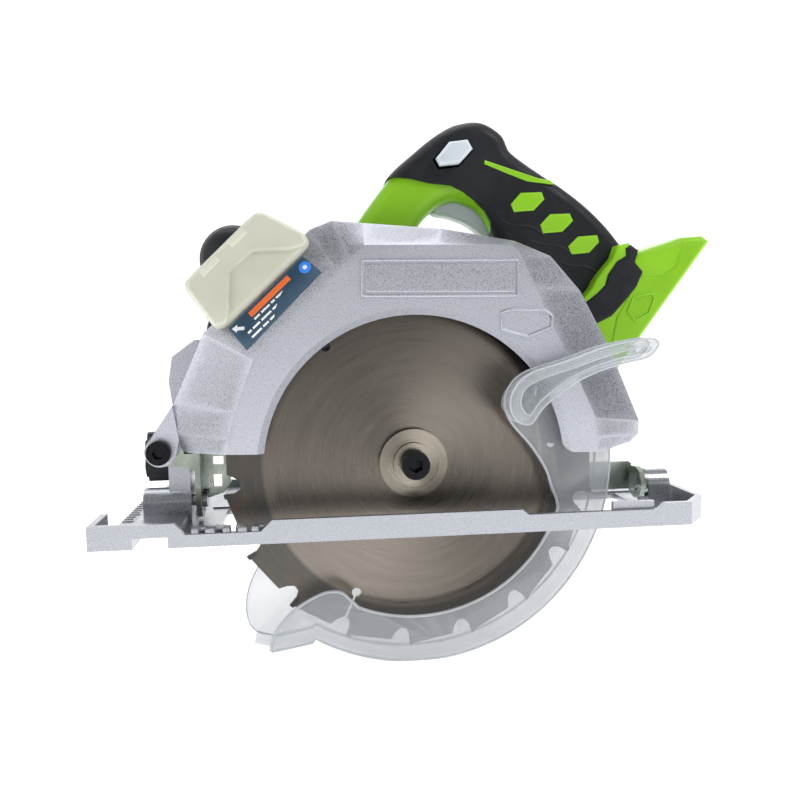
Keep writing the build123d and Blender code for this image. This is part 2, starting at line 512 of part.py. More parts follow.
# ---- front knob and laser -----------------------------------------------------------------
def build_front():
    knob = Pos(-93, 34, 124) * Sphere(17.0)
    knob += Pos(-93, 48, 124) * Sphere(16.0)
    stem = slab([(-104, 90), (-80, 90), (-80, 118), (-106, 118)], 18.0, 44.0)
    parts["front_knob"] = knob + stem
    body = [(-103.8, 113.6), (-102.8, 118), (-78, 141.7), (-70, 146.7), (-66, 146.1), (-49.6, 138.1),
            (-47.5, 135), (-48, 131.4), (-84.9, 95.6), (-88, 94.3), (-94.7, 99.3)]
    housing = slab(body, -21.0, 13.0)
    facets = loft([outline(GUARD_EDGE, GUARD_EDGE_Y), outline(GUARD_FACE, GUARD_FRONT_Y)], ruled=True)
    case = facets + slab(GUARD_EDGE, GUARD_EDGE_Y, GUARD_BACK_Y)
    housing -= case
    # the laser looks forward and down, past the front of the blade
    aim = (-0.6, 0, -0.8)
    start = (-86, -4, 121)
    bore = Solid.make_cylinder(4.6, 40, Plane(origin=start, z_dir=aim))
    housing -= bore
    parts["laser_housing"] = housing
    parts["laser_module"] = Solid.make_cylinder(4.5, 17, Plane(origin=start, z_dir=aim))
    glass = (start[0] + 17 * aim[0], start[1], start[2] + 17 * aim[2])
    parts["laser_window"] = Solid.make_cylinder(4.5, 1.5, Plane(origin=glass, z_dir=aim))
    # thin plate on the facet between the housing and the window
    label = slab([(-85.2, 95.0), (-50.6, 127.4), (-42.4, 119.9), (-76.9, 85.1)], -30.0, -1.0)
    label &= Pos(0, -0.4, 0) * facets
    parts["laser_label"] = label - facets - housing


# ---- lower guard --------------------------------------------------------------------------
def build_lower_guard():
    """A channel round the blade: a cover on the blade side, a rim, and a back plate with the hub."""
    cover_y = LOWER_Y0 + LOWER_PLATE
    back_y = LOWER_Y1 - LOWER_PLATE - 0.1
    back = sector(0, ARBOR_Z, 60.0, LOWER_R, 216, 398, back_y, LOWER_Y1)
    back += slab([polar(0, ARBOR_Z, 15, 300), polar(0, ARBOR_Z, 70, 250), polar(0, ARBOR_Z, 78, 290),
                  polar(0, ARBOR_Z, 70, 330), polar(0, ARBOR_Z, 15, 60)], back_y, LOWER_Y1)
    back += slab([(-49, -53.5), (-70, -57), (-78, -54.5), (-82.5, -48), (-82.5, -40), (-80, -30), (-76, -22),
                  (-66, -24), (-46, -46)], back_y, LOWER_Y1)
    back += rod(0, ARBOR_Z, 23.0, 6.2, 10.8)
    parts["lower_guard_back"] = back - rod(0, ARBOR_Z, BOSS_R + HUB_CLEARANCE, 0, 15)
    rim = sector(0, ARBOR_Z, LOWER_R - LOWER_WALL, LOWER_R, 238, 398, cover_y, back_y)
    rim += slab([(-49, -52.5), (-49, -54.6), (-70, -58), (-71, -56)], cover_y, back_y)
    rim += slab([(-70, -58), (-78.6, -55.2), (-77.6, -53.6), (-70.5, -56.1)], LOWER_Y0 + 6, back_y)
    parts["lower_guard_rim"] = rim
    cover = sector(0, ARBOR_Z, 73.5, LOWER_R, 246, 356, LOWER_Y0, cover_y)
    cover += slab([(-45.0, -53.0), (-70.5, -57.5), (-68.5, -50), (-62, -41), (-52, -34), (-44, -30.5),
                   (-36, -31), (-29.5, -38), (-36, -56)], LOWER_Y0, cover_y)
    cover += slab([polar(0, ARBOR_Z, 95, 350), polar(0, ARBOR_Z, 73.5, 342), (66.5, 15.9), (63.8, 24.7),
                   (56.3, 36.7), (46.8, 48.0), (43.0, 56.5), (47, 66), polar(0, ARBOR_Z, 69.0, 32),
                   polar(0, ARBOR_Z, 94.6, 30), polar(0, ARBOR_Z, 94.8, 10)], LOWER_Y0, cover_y)
    # thumb lever: it leaves the cover inside the window and passes in front of the upper guard
    cover += slab([(41, 55), (44, 65), (51, 69), (59, 65), (54, 52), (47, 49)], -26.0, LOWER_Y0)
    lever = slab([(41, 60), (43, 68), (52.5, 73.4), (67.7, 77.6), (84.7, 83.7), (99.5, 86.2), (107.7, 86.9),
                  (110, 84), (105.3, 79), (92.4, 76.2), (77.6, 71.4), (66.3, 65.3), (55.9, 58.4), (48, 50),
                  (42.5, 53)], -34.0, -22.5)
    lever -= slab([(47, 60), (50, 66), (69, 72.5), (86, 78.6), (104, 83.2), (104, 81.6), (92, 79), (76, 74),
                   (65, 68), (54, 60)], -35.0, -25.0)
    parts["lower_guard_cover"] = cover + lever
    parts["guard_spring"] = Solid.make_torus(26.0, 0.6, Plane(origin=(0, 10.1, ARBOR_Z), z_dir=(0, 1, 0)))


# ---- depth frame --------------------------------------------------------------------------
def build_depth_frame():
    tab = [(-125, 34), (-125, 43), (-118.5, 46.3), (-110, 44), (-108.6, 36.5), (-101.5, 36.5), (-101.5, 27),
           (-109, 30.5), (-119, 31)]
    bracket = slab(tab, -1.7, 0.8)
    flange = [(-1.7, 36.5), (-1.7, 20), (-1.0, 12), (3, 5.5), (8, 4), (14, 6), (20, 20), (32, 26), (34, 36), (28, 40),
              (16, 40), (15, 36.5)]
    bracket += side_slab(flange, -104.0, -101.5)
    wing = [(-101.5, 36.5), (-90, 36.5), (-88.5, 20), (-92, 15), (-101.5, 12)]
    bracket += slab(wing, 12.0, 14.5)
    bracket -= slab([(-97, 33), (-92, 33), (-92, 29), (-97, 29)], 11, 16)
    bracket -= slab([(-97, 24), (-93, 24), (-93, 18), (-97, 18)], 11, 16)
    bracket -= rod(PIVOT_X, PIVOT_Z, 3.0, -2, 2)
    bracket -= rod_x(BEVEL_Y, BEVEL_Z, 3.0, -105, -100)
    lock = polar(BEVEL_Y, BEVEL_Z, LOCK_R, LOCK_ANGLE)
    bracket -= rod_x(*lock, 3.0, -105, -100)
    parts["front_bracket"] = bracket
    arm = sector(PIVOT_X, PIVOT_Z, QUADRANT_R - QUADRANT_HALF, QUADRANT_R + QUADRANT_HALF, -9.5, 33.5,
                 STRAP_Y0, STRAP_Y0 + PLATE_T)
    arm += slab([(43, 8), (117, 8), (119.5, 10), (119.5, 20), (117, 22.5), (60, 22.5), (54, 30), (46, 30)],
                STRAP_Y0, STRAP_Y0 + PLATE_T)
    ear = [(STRAP_Y0 + PLATE_T, 8.5), (12, 5.2), (8, 4.6), (2.5, 6.5), (0, 12.8), (2.5, 19), (8, 21), (12, 20.6),
           (STRAP_Y0 + PLATE_T, 21.5)]
    arm += side_slab(ear, 117.0, 119.5)
    arm -= arc_slot(PIVOT_X, PIVOT_Z, QUADRANT_R, 3.2, CLAMP_ANGLE, CLAMP_ANGLE + DEPTH_SWING, 15, 20)
    arm -= rod_x(BEVEL_Y, BEVEL_Z, 3.0, 116, 121)
    parts["rear_quadrant"] = arm
    front_rivet = rod_x(BEVEL_Y, BEVEL_Z, 2.95, -128.0, -101.5) + rod_x(BEVEL_Y, BEVEL_Z, 3.9, -101.5, -99.5)
    rear_rivet = rod_x(BEVEL_Y, BEVEL_Z, 2.95, 117.0, 131.0) + rod_x(BEVEL_Y, BEVEL_Z, 4.6, 115.4, 117.0)
    parts["bevel_rivets"] = Compound(children=[front_rivet, rear_rivet])
    parts["rear_washer"] = Compound(children=[
        rod_x(BEVEL_Y, BEVEL_Z, 7.6, 119.5, 121.0) - rod_x(BEVEL_Y, BEVEL_Z, 2.95, 119, 122)])


def build_locks():
    lock = polar(BEVEL_Y, BEVEL_Z, LOCK_R, LOCK_ANGLE)
    clamp = polar(PIVOT_X, PIVOT_Z, QUADRANT_R, CLAMP_ANGLE)
    parts["bevel_lock_bolt"] = rod_x(*lock, 2.95, -126.0, -99.5) + rod_x(*lock, 5.0, -101.5, -98.5)
    parts["depth_clamp_bolt"] = rod(*clamp, 2.95, 11.4, 30.0) + rod(*clamp, 5.0, 9.6, 11.4)
    lever = rod(*clamp, 8.0, 19.5, 28.5)
    cx, cz = clamp
    lever += slab([(cx - 6, cz + 4), (cx + 6, cz + 5), (cx + 38, cz - 4), (cx + 40, cz - 9), (cx + 36, cz - 12),
                   (cx, cz - 7)], 21.5, 27.5)
    parts["depth_lock_lever"] = lever - rod(cx, cz, 3.0, 10, 40)
    knob = rod_x(*lock, 12.5, -130.0, -119.5)
    for i in range(6):
        notch = polar(lock[0], lock[1], 15.5, 60 * i)
        knob -= rod_x(*notch, 4.5, -131, -119)
    parts["bevel_lock_knob"] = knob - rod_x(*lock, 3.0, -140, -110)


# ---- base plate ---------------------------------------------------------------------------
def bevel_quadrant():
    """The upright plate on the front of the sole, with the curved slot that the bevel lock runs in."""
    sweep = [polar(BEVEL_Y, BEVEL_Z, LOCK_R + 5, LOCK_ANGLE - 11 + 7 * i) for i in range(10)]
    plate = side_slab([(BEVEL_Y - 4, BEVEL_Z), (34.5, 4)] + sweep, -117.0, -107.0)
    half = 3.2
    turns = [LOCK_ANGLE + BEVEL_SWING * i / 12 for i in range(13)]
    slot = [polar(BEVEL_Y, BEVEL_Z, LOCK_R + half + 0.1, a) for a in turns]
    slot += [polar(BEVEL_Y, BEVEL_Z, LOCK_R - half, a) for a in reversed(turns)]
    plate -= side_slab(slot, -118, -106)
    for angle in (turns[0], turns[-1]):
        plate -= rod_x(*polar(BEVEL_Y, BEVEL_Z, LOCK_R, angle), half, -118, -106)
    return plate


def build_base():
    plan = [(SOLE_X0, SOLE_Y0), (127, SOLE_Y0), (SOLE_X1, SOLE_Y0 + 14), (SOLE_X1, 84), (126, SOLE_Y1),
            (-130, SOLE_Y1), (-141, 86), (-141, 4), (SOLE_X0, -8)]
    base = plan_slab(plan, 0, SOLE_T)
    # rim on the blade side, low where the bar of the fence and the cutting line are read
    rim = [(SOLE_X0, 0), (SOLE_X0, RIM_H), (-109, RIM_H), (-105, 5.6), (-72, 5.6), (-67, 10.5), (46, 10.5),
           (49, 8), (111, 8), (114, RIM_H), (127, RIM_H), (127, 0)]
    base += slab(rim, SOLE_Y0, SOLE_Y0 + 3)
    base += slab([(90, 2), (90, 11.5), (110, 11.5), (110, 2)], SOLE_Y0 + 3, SOLE_Y0 + 5.5)
    corner = [(127, SOLE_Y0), (SOLE_X1, SOLE_Y0 + 14), (SOLE_X1, 20), (SOLE_X1 - 3, 20),
              (SOLE_X1 - 3, SOLE_Y0 + 15), (126, SOLE_Y0 + 3)]
    base += plan_slab(corner, 0, RIM_H)
    base += block((SOLE_X0, SOLE_X0 + 3), (SOLE_Y0, -8), (0, RIM_H))
    # lugs behind the dip in the rim
    for x in (-99, -90, -81, -73):
        base += block((x - 2.2, x + 2.2), (SOLE_Y0 + 5, SOLE_Y0 + 9), (0, 7.5))
    # low ribs along the far side, beside the slot and across
    base += block((-100, 130), (92, 95), (0, 7)) + block((-100, 128), (31, 33.5), (0, 3.8))
    for x in (-60, 0, 60, 118):
        base += block((x, x + 2.5), (44, 94), (0, 4.5))
    # raised land over the fence channel
    base += block((FENCE_X0 - 4, FENCE_X1 + 4), (SOLE_Y0, SOLE_Y1), (0, FENCE_H + 2.4))
    # front bearing of the bevel axis, with the quadrant beside it
    base += block((-129, -106.5), (BEVEL_Y - 6.4, BEVEL_Y + 6.4), (3, BEVEL_Z))
    base += rod_x(BEVEL_Y, BEVEL_Z, 6.4, -129.0, -106.5)
    base += bevel_quadrant()
    # rear bearing
    base += block((121.3, 132.5), (BEVEL_Y - 7, BEVEL_Y + 7), (0, BEVEL_Z))
    base += rod_x(BEVEL_Y, BEVEL_Z, 7.0, 121.3, 132.5)
    base -= rod_x(BEVEL_Y, BEVEL_Z, 3.0, -130, 133)
    # fence channel, open below, and the blade's slot
    base -= block((FENCE_X0, FENCE_X1), (SOLE_Y0 - 1, SOLE_Y1 + 1), (-1, FENCE_H))
    base -= block((SLOT_X0, SLOT_X1), (SLOT_Y0, SLOT_Y1), (-1, 9))
    # boss of the fence's clamp screw, above the channel
    middle = (FENCE_X0 + FENCE_X1) / 2
    base += rod_z(middle, CLAMP_Y, 7.0, FENCE_H, 12.0)
    parts["base_plate"] = base - rod_z(middle, CLAMP_Y, 2.5, 0, 13)
    screw = rod_z(middle, CLAMP_Y, 2.45, FENCE_H + 0.2, 20.0) + rod_z(middle, CLAMP_Y, 5.0, 15.0, 21.0)
    screw += block((middle - 13, middle + 13), (CLAMP_Y - 2, CLAMP_Y + 2), (17, 29))
    parts["fence_clamp_screw"] = screw


build_blade()
build_spindle()
build_upper_guard()
build_guard_fittings()
build_gear_housing()
build_motor()
build_motor_inside()
build_handle()
build_controls()
build_battery_seat()
build_front()
build_lower_guard()
build_depth_frame()
build_locks()
build_base()

os.makedirs("parts", exist_ok=True)
for name, shape in parts.items():
    export_step(shape, f"parts/{name}.step")
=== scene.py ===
import json
from math import cos, pi, radians, sin

import bmesh
import bpy
from mathutils import Matrix, Vector
from mathutils.geometry import tessellate_polygon


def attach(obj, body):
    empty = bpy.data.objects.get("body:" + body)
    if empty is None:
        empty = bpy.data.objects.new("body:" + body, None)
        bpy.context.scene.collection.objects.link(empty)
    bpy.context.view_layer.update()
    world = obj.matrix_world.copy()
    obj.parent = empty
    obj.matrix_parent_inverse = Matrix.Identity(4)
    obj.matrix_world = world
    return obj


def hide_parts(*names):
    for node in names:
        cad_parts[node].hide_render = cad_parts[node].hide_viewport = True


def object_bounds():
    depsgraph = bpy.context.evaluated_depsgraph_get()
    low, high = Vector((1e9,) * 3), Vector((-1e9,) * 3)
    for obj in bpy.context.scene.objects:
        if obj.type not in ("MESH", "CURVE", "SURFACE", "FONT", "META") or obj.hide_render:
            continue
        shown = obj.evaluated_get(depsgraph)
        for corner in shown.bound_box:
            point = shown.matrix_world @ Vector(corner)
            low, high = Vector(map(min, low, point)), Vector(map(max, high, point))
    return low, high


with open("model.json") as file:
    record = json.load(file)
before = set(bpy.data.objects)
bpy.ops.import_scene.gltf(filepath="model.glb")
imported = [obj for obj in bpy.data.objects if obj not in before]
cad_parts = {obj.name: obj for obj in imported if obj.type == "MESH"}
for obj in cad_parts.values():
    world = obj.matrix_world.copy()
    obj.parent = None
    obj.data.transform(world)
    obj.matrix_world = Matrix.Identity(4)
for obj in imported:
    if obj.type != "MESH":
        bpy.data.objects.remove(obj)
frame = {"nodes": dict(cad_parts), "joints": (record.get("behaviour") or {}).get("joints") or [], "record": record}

CAD_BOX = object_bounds()
MM = 0.001

nodes = frame["nodes"]
joint_at = {joint["name"]: joint["pos_m"] for joint in frame["joints"] if "pos_m" in joint}
ARBOR_Z = joint_at["blade_spin"][2] / MM     # height of the arbor above the sole, in mm
MOTOR_Z = joint_at["rotor_spin"][2] / MM


# ---- small helpers ------------------------------------------------------------------------
def mm(x, y, z):
    return Vector((x * MM, y * MM, z * MM))


def link(obj):
    bpy.context.scene.collection.objects.link(obj)
    return obj


def piece(obj, body, material):
    """Puts a finished piece on its CAD body, with a material."""
    obj.data.materials.clear()
    obj.data.materials.append(material)
    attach(obj, body)
    return obj


def bevel(obj, width, segments=3, angle=30):
    mod = obj.modifiers.new("edges", "BEVEL")
    mod.width = width * MM
    mod.segments = segments
    mod.limit_method = "ANGLE"
    mod.angle_limit = radians(angle)
    mod.harden_normals = True
    mod.miter_outer = "MITER_ARC"
    return obj


def smooth(obj, angle=35):
    """Smooth shading that keeps the sharp edges."""
    for poly in obj.data.polygons:
        poly.use_smooth = True
    bm = bmesh.new()
    bm.from_mesh(obj.data)
    for edge in bm.edges:
        edge.smooth = len(edge.link_faces) == 2 and edge.calc_face_angle(0) < radians(angle)
    bm.to_mesh(obj.data)
    bm.free()
    return obj


def mesh_object(name, verts, faces):
    mesh = bpy.data.meshes.new(name)
    mesh.from_pydata([tuple(v) for v in verts], [], faces)
    bm = bmesh.new()
    bm.from_mesh(mesh)
    bmesh.ops.remove_doubles(bm, verts=bm.verts, dist=1e-6)
    bmesh.ops.recalc_face_normals(bm, faces=bm.faces)
    bm.to_mesh(mesh)
    bm.free()
    return link(bpy.data.objects.new(name, mesh))


def curve_through(points, steps=6, closed=True):
    """A smooth line through (x, z) points; a point given as (x, z, "c") stays a sharp corner."""
    n = len(points)
    made = []
    spans = n if closed else n - 1
    for i in range(spans):
        a, b = points[i], points[(i + 1) % n]
        before = points[i - 1] if (closed or i > 0) else a
        after = points[(i + 2) % n] if (closed or i + 2 < n) else b
        ta = Vector((0, 0)) if len(a) > 2 else (Vector(b[:2]) - Vector(before[:2])) * 0.5
        tb = Vector((0, 0)) if len(b) > 2 else (Vector(after[:2]) - Vector(a[:2])) * 0.5
        straight = Vector(b[:2]) - Vector(a[:2])
        if len(a) > 2:
            ta = straight
        if len(b) > 2:
            tb = straight
        reach = straight.length
        ta = ta.normalized() * min(ta.length, reach) if ta.length else ta
        tb = tb.normalized() * min(tb.length, reach) if tb.length else tb
        count = 1 if (len(a) > 2 and len(b) > 2) else steps
        for k in range(count):
            t = k / count
            h00 = 2 * t ** 3 - 3 * t ** 2 + 1
            h10 = t ** 3 - 2 * t ** 2 + t
            h01 = -2 * t ** 3 + 3 * t ** 2
            h11 = t ** 3 - t ** 2
            p = Vector(a[:2]) * h00 + ta * h10 + Vector(b[:2]) * h01 + tb * h11
            made.append((p.x, p.y))
    if not closed:
        made.append(tuple(points[-1][:2]))
    return made


def prism(name, outline, y0, y1, holes=()):
    """The (x, z) outline in mm, thick from y0 to y1, with holes cut through it."""
    curve = bpy.data.curves.new(name, "CURVE")
    curve.dimensions = "2D"
    curve.fill_mode = "BOTH"
    curve.extrude = abs(y1 - y0) / 2 * MM
    for loop in (outline, *holes):
        spline = curve.splines.new("POLY")
        spline.points.add(len(loop) - 1)
        spline.use_cyclic_u = True
        for point, (x, z) in zip(spline.points, loop):
            point.co = (x * MM, z * MM, 0, 1)
    holder = bpy.data.objects.new(name + "_curve", curve)
    mesh = bpy.data.meshes.new_from_object(holder)
    bpy.data.objects.remove(holder)
    mesh.name = name
    # the curve lies in XY: stand it up in XZ, with its middle between y0 and y1
    mesh.transform(Matrix.Translation((0, (y0 + y1) / 2 * MM, 0)) @ Matrix.Rotation(pi / 2, 4, "X"))
    bm = bmesh.new()
    bm.from_mesh(mesh)
    bmesh.ops.remove_doubles(bm, verts=bm.verts, dist=1e-6)
    bmesh.ops.dissolve_limit(bm, angle_limit=radians(0.5), verts=bm.verts, edges=bm.edges)
    bmesh.ops.recalc_face_normals(bm, faces=bm.faces)
    bm.to_mesh(mesh)
    bm.free()
    mesh.materials.clear()
    return link(bpy.data.objects.new(name, mesh))


def polar(r, angle, cx=0.0, cz=ARBOR_Z):
    """The (x, z) point at a radius in mm and an angle in degrees."""
    return (cx + r * cos(radians(angle)), cz + r * sin(radians(angle)))


def turned(loop, clockwise):
    """The closed (x, z) loop, run through clockwise or the other way."""
    area = sum(a[0] * b[1] - b[0] * a[1] for a, b in zip(loop, loop[1:] + loop[:1]))
    return loop if (area < 0) == clockwise else loop[::-1]


def moved_in(loop, distance):
    """The closed (x, z) loop, moved to its left by a distance in mm; corners stay sharp."""
    made = []
    for before, here, after in zip(loop[-1:] + loop[:-1], loop, loop[1:] + loop[:1]):
        a = (Vector(here) - Vector(before)).normalized()
        b = (Vector(after) - Vector(here)).normalized()
        bisector = Vector((-a.y - b.y, a.x + b.x))
        reach = 2 / max(bisector.length_squared, 1.0)
        made.append(tuple(Vector(here) + bisector * distance * reach))
    return made


def pillow(name, outer, y0, y1, across, deep, holes=(), steps=5):
    """The outline, thick from y0 to y1, with edges rounded by `across` in plan and `deep` in depth."""
    loops = [turned(list(outer), False)] + [turned(list(hole), True) for hole in holes]
    turns = [pi / 2 * k / steps for k in range(steps + 1)]
    levels = [(across * (1 - cos(a)), y0 + deep * (1 - sin(a))) for a in reversed(turns)]
    levels += [(across * (1 - cos(a)), y1 - deep * (1 - sin(a))) for a in turns]
    verts, faces = [], []
    caps = {0: [], len(levels) - 1: []}
    for loop in loops:
        start = len(verts)
        n = len(loop)
        for level, (inset, y) in enumerate(levels):
            ring = [mm(x, y, z) for x, z in moved_in(loop, inset)]
            if level in caps:
                caps[level].append((len(verts), ring))
            verts += ring
        for level in range(len(levels) - 1):
            low = start + level * n
            for i in range(n):
                j = (i + 1) % n
                faces.append((low + i, low + j, low + n + j, low + n + i))
    for rings in caps.values():
        index = [first + i for first, ring in rings for i in range(len(ring))]
        for triangle in tessellate_polygon([ring for first, ring in rings]):
            faces.append([index[i] for i in triangle])
    obj = smooth(mesh_object(name, verts, faces))
    obj.modifiers.new("normals", "WEIGHTED_NORMAL").keep_sharp = True
    return obj


def lathe(name, profile, centre, steps=48):
    """Turns an (y, radius) profile about the Y axis through centre (x, z)."""
    verts = [mm(centre[0] + r * cos(2 * pi * k / steps), y, centre[1] + r * sin(2 * pi * k / steps))
             for y, r in profile for k in range(steps)]
    faces = []
    for ring in range(len(profile) - 1):
        low = ring * steps
        faces += [(low + i, low + (i + 1) % steps, low + steps + (i + 1) % steps, low + steps + i)
                  for i in range(steps)]
    faces.append(list(range(steps))[::-1])
    faces.append(list(range(len(verts) - steps, len(verts))))
    return smooth(mesh_object(name, verts, faces))


def bead(name, points, radius, closed=False):
    """A thin round bead along 3-D points in mm."""
    curve = bpy.data.curves.new(name, "CURVE")
    curve.dimensions = "3D"
    curve.bevel_depth = radius * MM
    curve.bevel_resolution = 2
    curve.use_fill_caps = True
    spline = curve.splines.new("POLY")
    spline.points.add(len(points) - 1)
    spline.use_cyclic_u = closed
    for point, place in zip(spline.points, points):
        point.co = (*mm(*place), 1)
    holder = bpy.data.objects.new(name + "_curve", curve)
    mesh = bpy.data.meshes.new_from_object(holder)
    bpy.data.objects.remove(holder)
    mesh.name = name
    return smooth(link(bpy.data.objects.new(name, mesh)), 60)


def cut(obj, *tools, keep_common=False):
    """Cuts the tools out of the object, or keeps only what is inside them, and removes them."""
    for tool in tools:
        mod = obj.modifiers.new("cut", "BOOLEAN")
        mod.operation = "INTERSECT" if keep_common else "DIFFERENCE"
        mod.solver = "EXACT"
        mod.object = tool
        with bpy.context.temp_override(object=obj, active_object=obj, selected_objects=[obj]):
            bpy.ops.object.modifier_move_to_index(modifier=mod.name, index=0)
            bpy.ops.object.modifier_apply(modifier=mod.name)
        bpy.data.objects.remove(tool)
    return smooth(obj)


def joined(name, objs):
    """One object from several, with their modifiers applied."""
    depsgraph = bpy.context.evaluated_depsgraph_get()
    bm = bmesh.new()
    for obj in objs:
        bm.from_mesh(bpy.data.meshes.new_from_object(obj.evaluated_get(depsgraph)))
    mesh = bpy.data.meshes.new(name)
    bm.to_mesh(mesh)
    bm.free()
    for obj in objs:
        bpy.data.objects.remove(obj)
    return smooth(link(bpy.data.objects.new(name, mesh)))


def circle(centre, radius, steps=32):
    turns = [2 * pi * k / steps for k in range(steps)]
    return [(centre[0] + radius * cos(a), centre[1] + radius * sin(a)) for a in turns]


def arc(radius, a0, a1, step=3.0):
    """(x, z) points on an arc about the arbor, from angle a0 to a1 in degrees."""
    count = max(2, int(abs(a1 - a0) / step))
    return [polar(radius, a0 + (a1 - a0) * k / count) for k in range(count + 1)]


# ---- materials ----------------------------------------------------------------------------
class Paint:
    """A node-based material that is built up step by step around one Principled shader."""

    def __init__(self, name, color, rough=0.5, metal=0.0, **sockets):
        self.mat = bpy.data.materials.new(name)
        self.mat.use_nodes = True
        self.tree = self.mat.node_tree
        self.shader = self.tree.nodes["Principled BSDF"]
        self.put("Base Color", (*color, 1))
        self.put("Roughness", rough)
        self.put("Metallic", metal)
        for key, value in sockets.items():
            self.put(key.replace("_", " "), value)
        self.coords = self.node("ShaderNodeTexCoord").outputs["Object"]
        self.height = None

    def put(self, socket, value):
        self.shader.inputs[socket].default_value = value

    def node(self, kind, **settings):
        made = self.tree.nodes.new(kind)
        for key, value in settings.items():
            setattr(made, key, value)
        return made

    def join(self, a, b):
        self.tree.links.new(a, b)

    def noise(self, scale, detail=3.0, rough=0.55, stretch=(1, 1, 1), vector=None):
        """Noise with features 1/scale metres across, stretched along the axes."""
        mapping = self.node("ShaderNodeMapping")
        mapping.inputs["Scale"].default_value = stretch
        self.join(vector or self.coords, mapping.inputs["Vector"])
        noise = self.node("ShaderNodeTexNoise")
        noise.inputs["Scale"].default_value = scale
        noise.inputs["Detail"].default_value = detail
        noise.inputs["Roughness"].default_value = rough
        self.join(mapping.outputs[0], noise.inputs["Vector"])
        return noise.outputs["Fac"]

    def spread(self, value, low, high, to_low=0.0, to_high=1.0):
        ranged = self.node("ShaderNodeMapRange")
        ends = {"From Min": low, "From Max": high, "To Min": to_low, "To Max": to_high}
        for key, number in ends.items():
            ranged.inputs[key].default_value = number
        self.join(value, ranged.inputs["Value"])
        return ranged.outputs[0]

    def ramp(self, value, stops):
        """A colour ramp from (place, colour) stops."""
        ramp = self.node("ShaderNodeValToRGB")
        elements = ramp.color_ramp.elements
        while len(elements) < len(stops):
            elements.new(0.5)
        for element, (place, color) in zip(elements, stops):
            element.position = place
            element.color = (*color, 1)
        self.join(value, ramp.inputs["Fac"])
        return ramp.outputs["Color"]

    def mix(self, factor, a, b, kind="MIX"):
        mixer = self.node("ShaderNodeMix", data_type="RGBA", blend_type=kind)
        for value, index in ((factor, 0), (a, 6), (b, 7)):
            if hasattr(value, "is_output"):
                self.join(value, mixer.inputs[index])
            elif index == 0:
                mixer.inputs[0].default_value = value
            else:
                mixer.inputs[index].default_value = (*value, 1)
        return mixer.outputs[2]

    def math(self, kind, a, b=None):
        op = self.node("ShaderNodeMath", operation=kind)
        for value, index in ((a, 0), (b, 1)):
            if value is None:
                continue
            if hasattr(value, "is_output"):
                self.join(value, op.inputs[index])
            else:
                op.inputs[index].default_value = value
        return op.outputs[0]

    def tint(self, color):
        self.join(color, self.shader.inputs["Base Color"])
        return self

    def roughen(self, value):
        self.join(value, self.shader.inputs["Roughness"])
        return self

    def bump(self, height, distance, strength=1.0):
        """Adds relief; distance is its depth in metres."""
        bump = self.node("ShaderNodeBump")
        bump.inputs["Strength"].default_value = strength
        bump.inputs["Distance"].default_value = distance
        self.join(height, bump.inputs["Height"])
        if self.height is not None:
            self.join(self.height, bump.inputs["Normal"])
        self.height = bump.outputs["Normal"]
        self.join(self.height, self.shader.inputs["Normal"])
        return self

    def edge_wear(self, base, worn, low=0.505, high=0.54):
        """The worn colour where the surface bulges outward."""
        edge = self.node("ShaderNodeNewGeometry").outputs["Pointiness"]
        return self.mix(self.spread(edge, low, high), base, worn)


def shade(color, k):
    return tuple(c * k for c in color)


def sparkle_paint(name, color, grain, rough, pebble=1.0):
    """Silver paint full of metal flake over a slightly pebbled casting."""
    p = Paint(name, color, rough, 0.7, Specular_IOR_Level=0.6)
    fleck = p.noise(grain, 1.0, 0.6)
    cloud = p.noise(60, 3.0)
    body = p.mix(p.spread(cloud, 0.35, 0.65), shade(color, 0.94), color)
    body = p.mix(p.spread(fleck, 0.34, 0.48), shade(color, 0.74), body)
    body = p.mix(p.spread(fleck, 0.53, 0.64), body, shade(color, 1.45))
    p.tint(p.edge_wear(body, shade(color, 1.5)))
    p.roughen(p.spread(fleck, 0.35, 0.65, rough - 0.12, rough + 0.12))
    p.bump(p.noise(grain * 0.8, 1.0, 0.6), 0.00016 * pebble, 0.6)
    p.bump(p.noise(260, 2.0), 0.00008 * pebble, 0.3)
    return p.mat


def moulded_plastic(name, color, rough, grain=3200):
    p = Paint(name, color, rough, 0.0, Specular_IOR_Level=0.45)
    cloud = p.noise(35, 3.0)
    base = p.mix(p.spread(cloud, 0.3, 0.7), shade(color, 0.9), shade(color, 1.06))
    p.tint(p.edge_wear(base, tuple(min(1, c * 1.25 + 0.01) for c in color), 0.51, 0.57))
    p.roughen(p.spread(p.noise(90, 4.0), 0.3, 0.7, rough - 0.07, rough + 0.08))
    p.bump(p.noise(grain, 2.0, 0.6), 0.00012, 0.5)
    return p.mat


def soft_rubber(name, color, rough=0.62):
    p = Paint(name, color, rough, 0.0, Specular_IOR_Level=0.30, Sheen_Weight=0.04,
              Sheen_Roughness=0.5)
    dust = p.spread(p.noise(28, 5.0, 0.65), 0.45, 0.75)
    p.tint(p.mix(dust, color, tuple(c * 1.5 + 0.012 for c in color)))
    p.roughen(p.spread(p.noise(140, 4.0), 0.3, 0.7, rough - 0.1, rough + 0.12))
    p.bump(p.noise(5200, 2.0, 0.6), 0.0001, 0.6)
    return p.mat


def metal(name, color, rough, scratch=(1, 1, 1), grain=900, depth=0.00004, dirt=0.18):
    p = Paint(name, color, rough, 1.0)
    lines = p.noise(grain, 3.0, 0.6, scratch)
    cloud = p.noise(55, 4.0)
    base = p.mix(p.spread(lines, 0.3, 0.7), shade(color, 1 - dirt), shade(color, 1.08))
    p.tint(p.mix(p.spread(cloud, 0.4, 0.8), base, shade(color, 1 - dirt * 1.6)))
    p.roughen(p.spread(cloud, 0.3, 0.7, rough - 0.08, rough + 0.12))
    p.bump(lines, depth, 0.6)
    return p.mat


